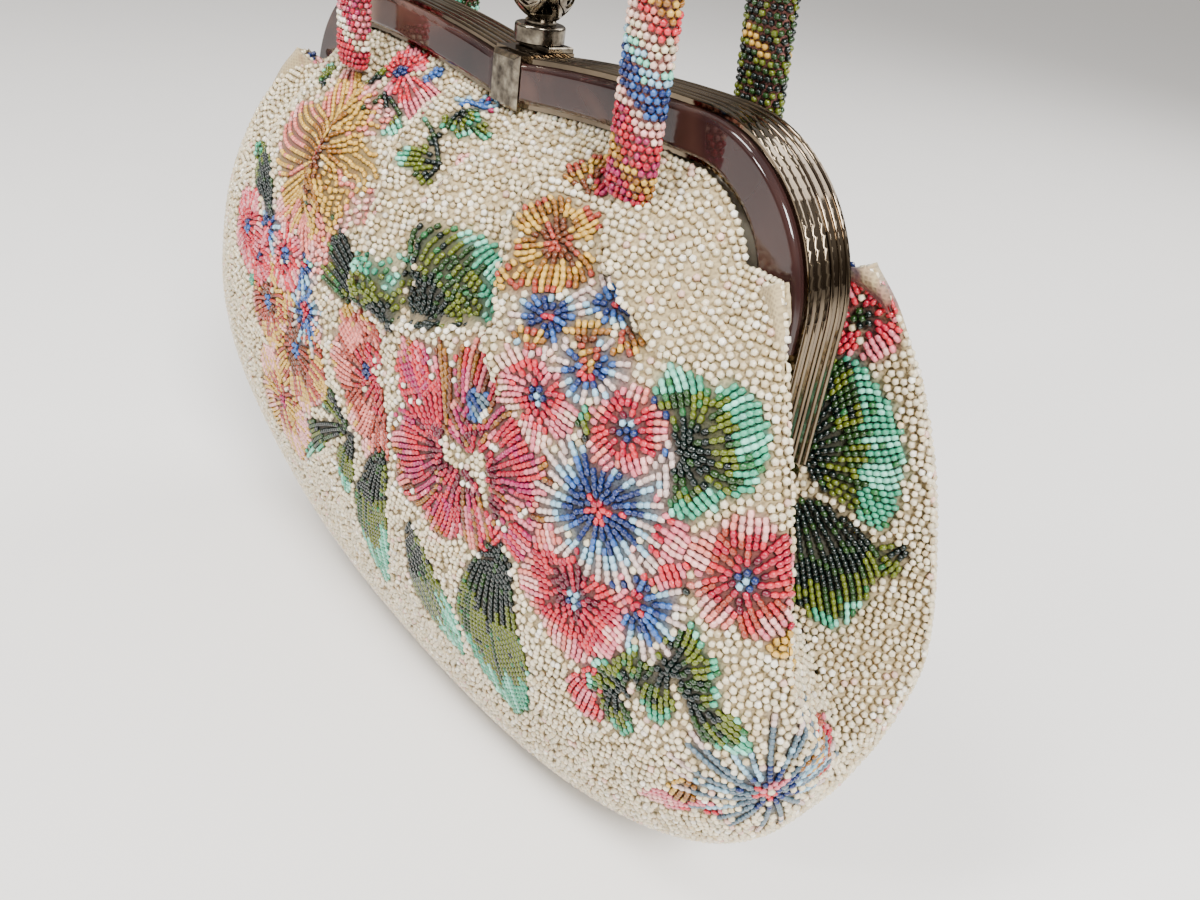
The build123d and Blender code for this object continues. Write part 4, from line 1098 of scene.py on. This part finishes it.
def seed_bead_glass():
    """Pressed glass seed beads, some lined with colour and some coated with pearl."""
    # each bead keeps its own colour and a small highlight; the pearl coat is a little softer
    material, tree, shader, _, noise = new_material(
        GLASS, tone=(700.0, 0.82, 1.12), rough=(420.0, 0.8, 1.25), grain=(1500.0, 0.0, 1.0))
    own = add_node(tree, "ShaderNodeAttribute", {"attribute_name": "bead_colour"})
    colour = add_node(tree, "ShaderNodeVectorMath", {"operation": "SCALE"}, i0=own, Scale=noise["tone"])
    pearl = add_node(tree, "ShaderNodeMapRange", i0=own.outputs["Alpha"], i3=0.14, i4=0.26)
    rough = add_node(tree, "ShaderNodeMath", {"operation": "MULTIPLY"}, i0=pearl, i1=noise["rough"])
    feed(tree, shader, Base_Color=colour, Roughness=rough, IOR=1.52, Specular_IOR_Level=0.3,
         Coat_Weight=0.55, Coat_Roughness=0.05, Subsurface_Weight=0.05, Subsurface_Scale=0.0012,
         Normal=add_node(tree, "ShaderNodeBump", Height=noise["grain"], Strength=0.12, Distance=0.0001))
    return material


def cotton_ground(name, attribute):
    """Plain woven cotton under the beads; its threads are drawn at 0.9 mm so that they show."""
    # a dull, slightly fuzzy cloth; its colour attribute carries painted shade, a dark tint of the flowers'
    # colours in the gaps between the beads
    material, tree, shader, place, noise = new_material(name, rough=(900.0, 0.75, 0.95))
    waves = [add_node(tree, "ShaderNodeTexWave", {"wave_type": "BANDS", "bands_direction": way},
                      Vector=place, Scale=350.0, Distortion=1.2, Detail=1.0).outputs["Fac"]
             for way in ("X", "Z")]
    weave = add_node(tree, "ShaderNodeMath", {"operation": "MAXIMUM"}, i0=waves[0], i1=waves[1])
    if attribute:
        own = add_node(tree, "ShaderNodeAttribute", {"attribute_name": attribute})
        tone = add_node(tree, "ShaderNodeMapRange", i0=weave, i3=0.7, i4=1.1)
        colour = add_node(tree, "ShaderNodeVectorMath", {"operation": "SCALE"}, i0=own, Scale=tone)
    else:
        colour = add_node(tree, "ShaderNodeValToRGB", {"stops": ((0.0, "#4E2B28"), (1.0, "#8E5A50"))},
                          i0=weave)
    feed(tree, shader, Base_Color=colour, Roughness=noise["rough"], Sheen_Weight=0.15,
         Normal=add_node(tree, "ShaderNodeBump", Height=weave, Strength=0.5, Distance=0.0002))
    return material


def ivory_satin():
    """Woven satin: smooth floats give a soft, directional sheen."""
    material, tree, shader, place, noise = new_material(
        "ivory acetate satin", tone=(26.0, 0.0, 1.0), rough=(60.0, 0.26, 0.42))
    wave = add_node(tree, "ShaderNodeTexWave", {"wave_type": "BANDS", "bands_direction": "X"},
                    Vector=place, Scale=500.0, Distortion=2.0, Detail=2.0).outputs["Fac"]
    colour = add_node(tree, "ShaderNodeValToRGB", {"stops": ((0.0, "#CDBFA4"), (1.0, "#EADFC8"))},
                      i0=noise["tone"])
    feed(tree, shader, Base_Color=colour, Roughness=noise["rough"], Sheen_Weight=0.25, Anisotropic=0.5,
         Normal=add_node(tree, "ShaderNodeBump", Height=wave, Strength=0.15, Distance=0.0001))
    return material


def mottled(name, tone, stops, rough, grain, strength, distance, **shading):
    """A surface whose colour, roughness and fine relief each follow a noise of their own."""
    material, tree, shader, _, noise = new_material(name, tone=tone, rough=rough, grain=grain)
    colour = add_node(tree, "ShaderNodeValToRGB", {"stops": stops}, i0=noise["tone"])
    feed(tree, shader, Base_Color=colour, Roughness=noise["rough"], **shading,
         Normal=add_node(tree, "ShaderNodeBump", Height=noise["grain"], Strength=strength,
                         Distance=distance))
    return material


def smoked_nickel():
    """Stamped brass, polished and plated with smoked nickel: a dark mirror with a brown cast."""
    return mottled("polished smoked nickel plating", (55.0, 0.0, 1.0), ((0.0, "#574C3F"), (1.0, "#7E705D")),
                   (120.0, 0.05, 0.11), (40.0, 0.0, 1.0, 1.0), 0.04, 0.0002, Metallic=1.0)


def antique_brass():
    """Cast metal, antiqued in a dark bath and rubbed bright on what stands out."""
    patina = (500.0, 0.0, 1.0, 4.0)
    return mottled("antiqued cast metal", patina, ((0.0, "#3E3831"), (0.5, "#6F675B"), (1.0, "#9A917F")),
                   (300.0, 0.12, 0.28), patina, 0.12, 0.0001, Metallic=1.0)


def drawn_steel():
    """Plain turned steel of the lock, with fine tool lines."""
    return mottled("turned plain steel", (200.0, 0.0, 1.0), ((0.0, "#7C7C7A"), (1.0, "#A9A8A4")),
                   (800.0, 0.25, 0.4), (1200.0, 0.0, 1.0), 0.1, 0.0001, Metallic=1.0)


def cast_resin():
    """Cast and polished smoky resin: soft clouds of brown and near black under a wet gloss."""
    material, tree, shader, place, noise = new_material(
        "polished cast smoky resin", rough=(90.0, 0.05, 0.1), grain=(30.0, 0.0, 1.0, 1.0))
    clouds = add_node(tree, "ShaderNodeTexNoise", Vector=place, Scale=24.0, Detail=3.0, Distortion=0.8)
    stops = ((0.32, "#140B0D"), (0.48, "#2E1C1A"), (0.62, "#54382F"), (0.75, "#7A5E4E"))
    feed(tree, shader, Base_Color=add_node(tree, "ShaderNodeValToRGB", {"stops": stops}, i0=clouds),
         Roughness=noise["rough"], IOR=1.54, Specular_IOR_Level=0.3, Coat_Weight=0.2, Coat_Roughness=0.03,
         Normal=add_node(tree, "ShaderNodeBump", Height=noise["grain"], Strength=0.04, Distance=0.0003))
    return material


def twisted_paper():
    """Twisted kraft paper cord: dull, with slanting ridges 1 mm apart."""
    material, tree, shader, place, noise = new_material("twisted kraft paper cord", rough=(500.0, 0.7, 0.9))
    wave = add_node(tree, "ShaderNodeTexWave", {"wave_type": "BANDS", "bands_direction": "DIAGONAL"},
                    Vector=place, Scale=310.0, Distortion=0.6).outputs["Fac"]
    colour = add_node(tree, "ShaderNodeValToRGB", {"stops": ((0.0, "#7E6A46"), (1.0, "#BFA981"))}, i0=wave)
    feed(tree, shader, Base_Color=colour, Roughness=noise["rough"],
         Normal=add_node(tree, "ShaderNodeBump", Height=wave, Strength=0.6, Distance=0.0003))
    return material


def studio_paper(colour):
    """Matt backdrop paper for the floor."""
    material, tree, shader, _, noise = new_material(
        "matt backdrop paper", rough=(30.0, 0.75, 0.9), grain=(250.0, 0.0, 1.0))
    feed(tree, shader, Base_Color=colour, Roughness=noise["rough"],
         Normal=add_node(tree, "ShaderNodeBump", Height=noise["grain"], Strength=0.05, Distance=0.0002))
    return material


def finish_piece(piece, material):
    """Gives a piece its material."""
    piece.data.materials.clear()
    piece.data.materials.append(material)


def finish_nodes(material, names):
    """Gives CAD nodes their material."""
    for name in names:
        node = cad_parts[name]
        for place in node.material_slots:
            place.material = material


def follow_rear(piece):
    """Bakes the piece's placing into its mesh, without tying it to the bag or the rear half."""
    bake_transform(piece)


def settings():
    """The sizes and colours of the panel."""
    return bpy.context.scene.handbag


class HandbagSettings(bpy.types.PropertyGroup):
    """Sizes and colours that change the look of the bag."""

    bead_radius: FloatProperty(name="Bead radius", description="Radius of one seed bead", default=0.00086,
                               unit="LENGTH", precision=5)
    seed: IntProperty(name="Seed", description="Start of the small random differences", default=7)
    # partly the cotton's own colour, partly painted shade: set darker than the cream cotton so that it stands
    # for the shadow in the gaps between the beads
    thread_and_gap_shade_colour: FloatVectorProperty(name="Ground cloth", description="Cotton between the beads",
                                       subtype="COLOR", size=4, default=srgb("#A8956F"), min=0, max=1)
    floor_colour: FloatVectorProperty(name="Floor", description="Backdrop paper", subtype="COLOR", size=4,
                                      default=srgb("#F3F0EC"), min=0, max=1)
    key_power: FloatProperty(name="Key light", description="Power of the main light", default=25.0,
                             unit="POWER")


class HANDBAG_OT_cloth(bpy.types.Operator):
    """Makes the two beaded cloth halves: ground cloth, flowers, leaves and pearls"""

    bl_idname = "handbag.cloth"
    bl_label = "Beaded cloth"

    def execute(self, context):
        sizes = settings()
        glass = seed_bead_glass()
        ground = cotton_ground("plain woven cotton ground", "cloth_colour_and_gap_shade")
        beads = (make_bead(sizes.bead_radius),
                 make_barrel(BARREL_LENGTH * sizes.bead_radius, BARREL_RADIUS * sizes.bead_radius))
        for side, half, seed in ((-1, "front", sizes.seed), (1, "rear", sizes.seed + 10)):
            table = FRONT_PATTERN if side < 0 else SIDE_PATTERN + mirrored(FRONT_PATTERN)
            place, normal, ahead, colour, size, strung = beads_of_half(side, table, seed)
            sheet = cloth_sheet(f"{half}_ground_cloth", side, *CLOTH_GRID[side])
            # painted shade in the gaps under the flowers and leaves, thread colour elsewhere
            paint_gap_shade_on_cloth(sheet, place, colour, sizes.thread_and_gap_shade_colour)
            finish_piece(sheet, ground)
            pieces = []
            for hand, name in ((-1, "left"), (1, "right")):
                here = np.nonzero(np.sign(place[:, 0] + 1e-9) == hand)[0]
                piece = copy_beads(f"{half}_{name}_beads", beads, place[here], normal[here], ahead[here],
                                   [colour[i] for i in here], size[here], strung[here],
                                   np.random.default_rng(sizes.seed))
                finish_piece(piece, glass)
                pieces.append(piece)
            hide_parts(f"{half}_cloth")
            for piece in (sheet, *pieces):
                if side < 0:
                    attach(piece, "bag")
                else:
                    follow_rear(piece)
        for bead in beads:
            bpy.data.objects.remove(bead)
        return {"FINISHED"}


class HANDBAG_OT_lining(bpy.types.Operator):
    """Makes the satin lining in two halves"""

    bl_idname = "handbag.lining"
    bl_label = "Satin lining"

    def execute(self, context):
        satin = ivory_satin()
        for side, half in ((-1, "front"), (1, "rear")):
            sheet = lining_sheet(f"{half}_satin", side, *LINING_GRID)
            finish_piece(sheet, satin)
            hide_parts(f"{half}_lining")
            if side < 0:
                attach(sheet, "bag")
            else:
                follow_rear(sheet)
        return {"FINISHED"}


class HANDBAG_OT_handles(bpy.types.Operator):
    """Makes the two padded handles and the beads that cover them"""

    bl_idname = "handbag.handles"
    bl_label = "Beaded handles"

    def execute(self, context):
        sizes = settings()
        random = np.random.default_rng(sizes.seed + 3)
        glass = bpy.data.materials[GLASS]
        core_cloth = cotton_ground("padded cotton strap cloth", None)
        bead = make_bead(sizes.bead_radius * STRAP_BEAD)
        for side, half, body in ((-1, "front", "bag"), (1, "rear", "rear_half")):
            core = strap_core(f"{half}_handle_core", side)
            finish_piece(core, core_cloth)
            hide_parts(f"{half}_handle")
            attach(core, body)
            place, normal, ahead, colour, size = strap_beads(side, random)
            piece = copy_beads(f"{half}_handle_beads", (bead, bead), place, normal, ahead, colour, size,
                               np.zeros(len(place), bool), random)
            finish_piece(piece, glass)
            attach(piece, body)
        bpy.data.objects.remove(bead)
        return {"FINISHED"}


class HANDBAG_OT_metal(bpy.types.Operator):
    """Finishes the frame, its hinges, the clasp, the lock and the inlays"""

    bl_idname = "handbag.metal"
    bl_label = "Frame, clasp and inlays"

    def execute(self, context):
        finish_nodes(smoked_nickel(), ("front_frame", "rear_frame", "left_hinge_pin", "right_hinge_pin",
                                       "left_hinge_washer", "right_hinge_washer"))
        finish_nodes(antique_brass(), ("clasp_bar", "clasp_plate", "clasp_collar", "clasp_knob"))
        finish_nodes(drawn_steel(), ("lock_cam", "cam_washer", "keeper_post"))
        finish_nodes(cast_resin(), ("front_left_inlay", "front_right_inlay", "rear_left_inlay",
                                    "rear_right_inlay"))
        finish_nodes(twisted_paper(), ("front_channel_cord", "rear_channel_cord"))
        return {"FINISHED"}


# Lights: name, share of the panel's light power, size in m, place and what it points at, in m
LIGHTS = (
    ("key light", 1.0, 0.34, (0.80, -0.30, 0.90), (0, 0, 0.1)),
    ("top light", 0.45, 0.30, (-0.20, -0.55, 1.15), (0, 0, 0.1)),
    ("front light", 0.2, 0.12, (-0.15, -0.95, 0.65), (0, 0, 0.1)),
    ("back light", 0.4, 0.7, (0.1, 0.95, 0.9), (0, 0, 0.12)),
)
# Room around the bag: brightness by height of the view, from the horizon up
SKY_STOPS = ((0.0, "#6A615B"), (0.16, "#857C75"), (0.34, "#DCD8D3"), (1.0, "#FFFFFF"))
SKY_STRENGTH = 0.72
FLOOR_SIZE = 9.0  # m
# Camera as solved from the photo: place in m, its right, up and back directions, lens and sensor in mm
CAMERA_PLACE = (0.196731, -0.149131, 0.218412)
CAMERA_AXES = ((0.629, 0.767, 0.128), (-0.464, 0.238, 0.853), (0.624, -0.596, 0.506))
CAMERA_LENS = 30.685
CAMERA_SENSOR = 36.0


class HANDBAG_OT_stage(bpy.types.Operator):
    """Sets the pale floor, the soft lights and the camera"""

    bl_idname = "handbag.stage"
    bl_label = "Floor, lights and camera"

    def execute(self, context):
        sizes = settings()
        clear_selection()
        bpy.ops.mesh.primitive_plane_add(size=FLOOR_SIZE, location=(0, 0, 0))
        floor = bpy.context.object
        floor.name = "floor"
        floor.data.materials.append(studio_paper(sizes.floor_colour))
        for name, share, size, place, target in LIGHTS:
            lamp = bpy.data.lights.new(name, "AREA")
            lamp.energy, lamp.size = sizes.key_power * share, size
            holder = bpy.data.objects.new(name, lamp)
            holder.location = place
            holder.rotation_euler = (Vector(target) - Vector(place)).to_track_quat("-Z", "Y").to_euler()
            context.scene.collection.objects.link(holder)
        world = bpy.data.worlds.new("pale room")
        world.use_nodes = True
        room = world.node_tree
        sky = next(n for n in room.nodes if n.type == "BACKGROUND")
        way = add_node(room, "ShaderNodeTexCoord").outputs["Generated"]
        parts = add_node(room, "ShaderNodeSeparateXYZ", Vector=way)
        feed(room, sky, Strength=SKY_STRENGTH,
             Color=add_node(room, "ShaderNodeValToRGB", {"stops": SKY_STOPS}, i0=parts.outputs["Z"]))
        context.scene.world = world
        lens = bpy.data.cameras.new("camera")
        lens.lens, lens.sensor_width, lens.clip_start = CAMERA_LENS, CAMERA_SENSOR, 0.01
        camera = bpy.data.objects.new("camera", lens)
        camera.matrix_world = Matrix.Translation(CAMERA_PLACE) @ Matrix(CAMERA_AXES).transposed().to_4x4()
        context.scene.collection.objects.link(camera)
        context.scene.camera = camera
        return {"FINISHED"}


class HANDBAG_PT_panel(bpy.types.Panel):
    """Lists the steps and the sizes in the sidebar of the 3D view"""

    bl_label = "Beaded handbag"
    bl_idname = "HANDBAG_PT_panel"
    bl_space_type = "VIEW_3D"
    bl_region_type = "UI"
    bl_category = "Handbag"

    def draw(self, context):
        for name in ("bead_radius", "seed", "thread_and_gap_shade_colour", "floor_colour", "key_power"):
            self.layout.prop(context.scene.handbag, name)
        for operator in STEPS:
            self.layout.operator(operator.bl_idname)


STEPS = (HANDBAG_OT_cloth, HANDBAG_OT_lining, HANDBAG_OT_handles, HANDBAG_OT_metal, HANDBAG_OT_stage)
CLASSES = (HandbagSettings, *STEPS, HANDBAG_PT_panel)


def register():
    """Adds the classes and the settings."""
    for kind in CLASSES:
        bpy.utils.register_class(kind)
    bpy.types.Scene.handbag = PointerProperty(type=HandbagSettings)


def unregister():
    """Takes them away again."""
    del bpy.types.Scene.handbag
    for kind in reversed(CLASSES):
        bpy.utils.unregister_class(kind)


def main():
    """Builds the whole bag and its stage."""
    register()
    bpy.ops.handbag.cloth()
    bpy.ops.handbag.lining()
    bpy.ops.handbag.handles()
    bpy.ops.handbag.metal()
    bpy.ops.handbag.stage()


if __name__ == "__main__":
    main()
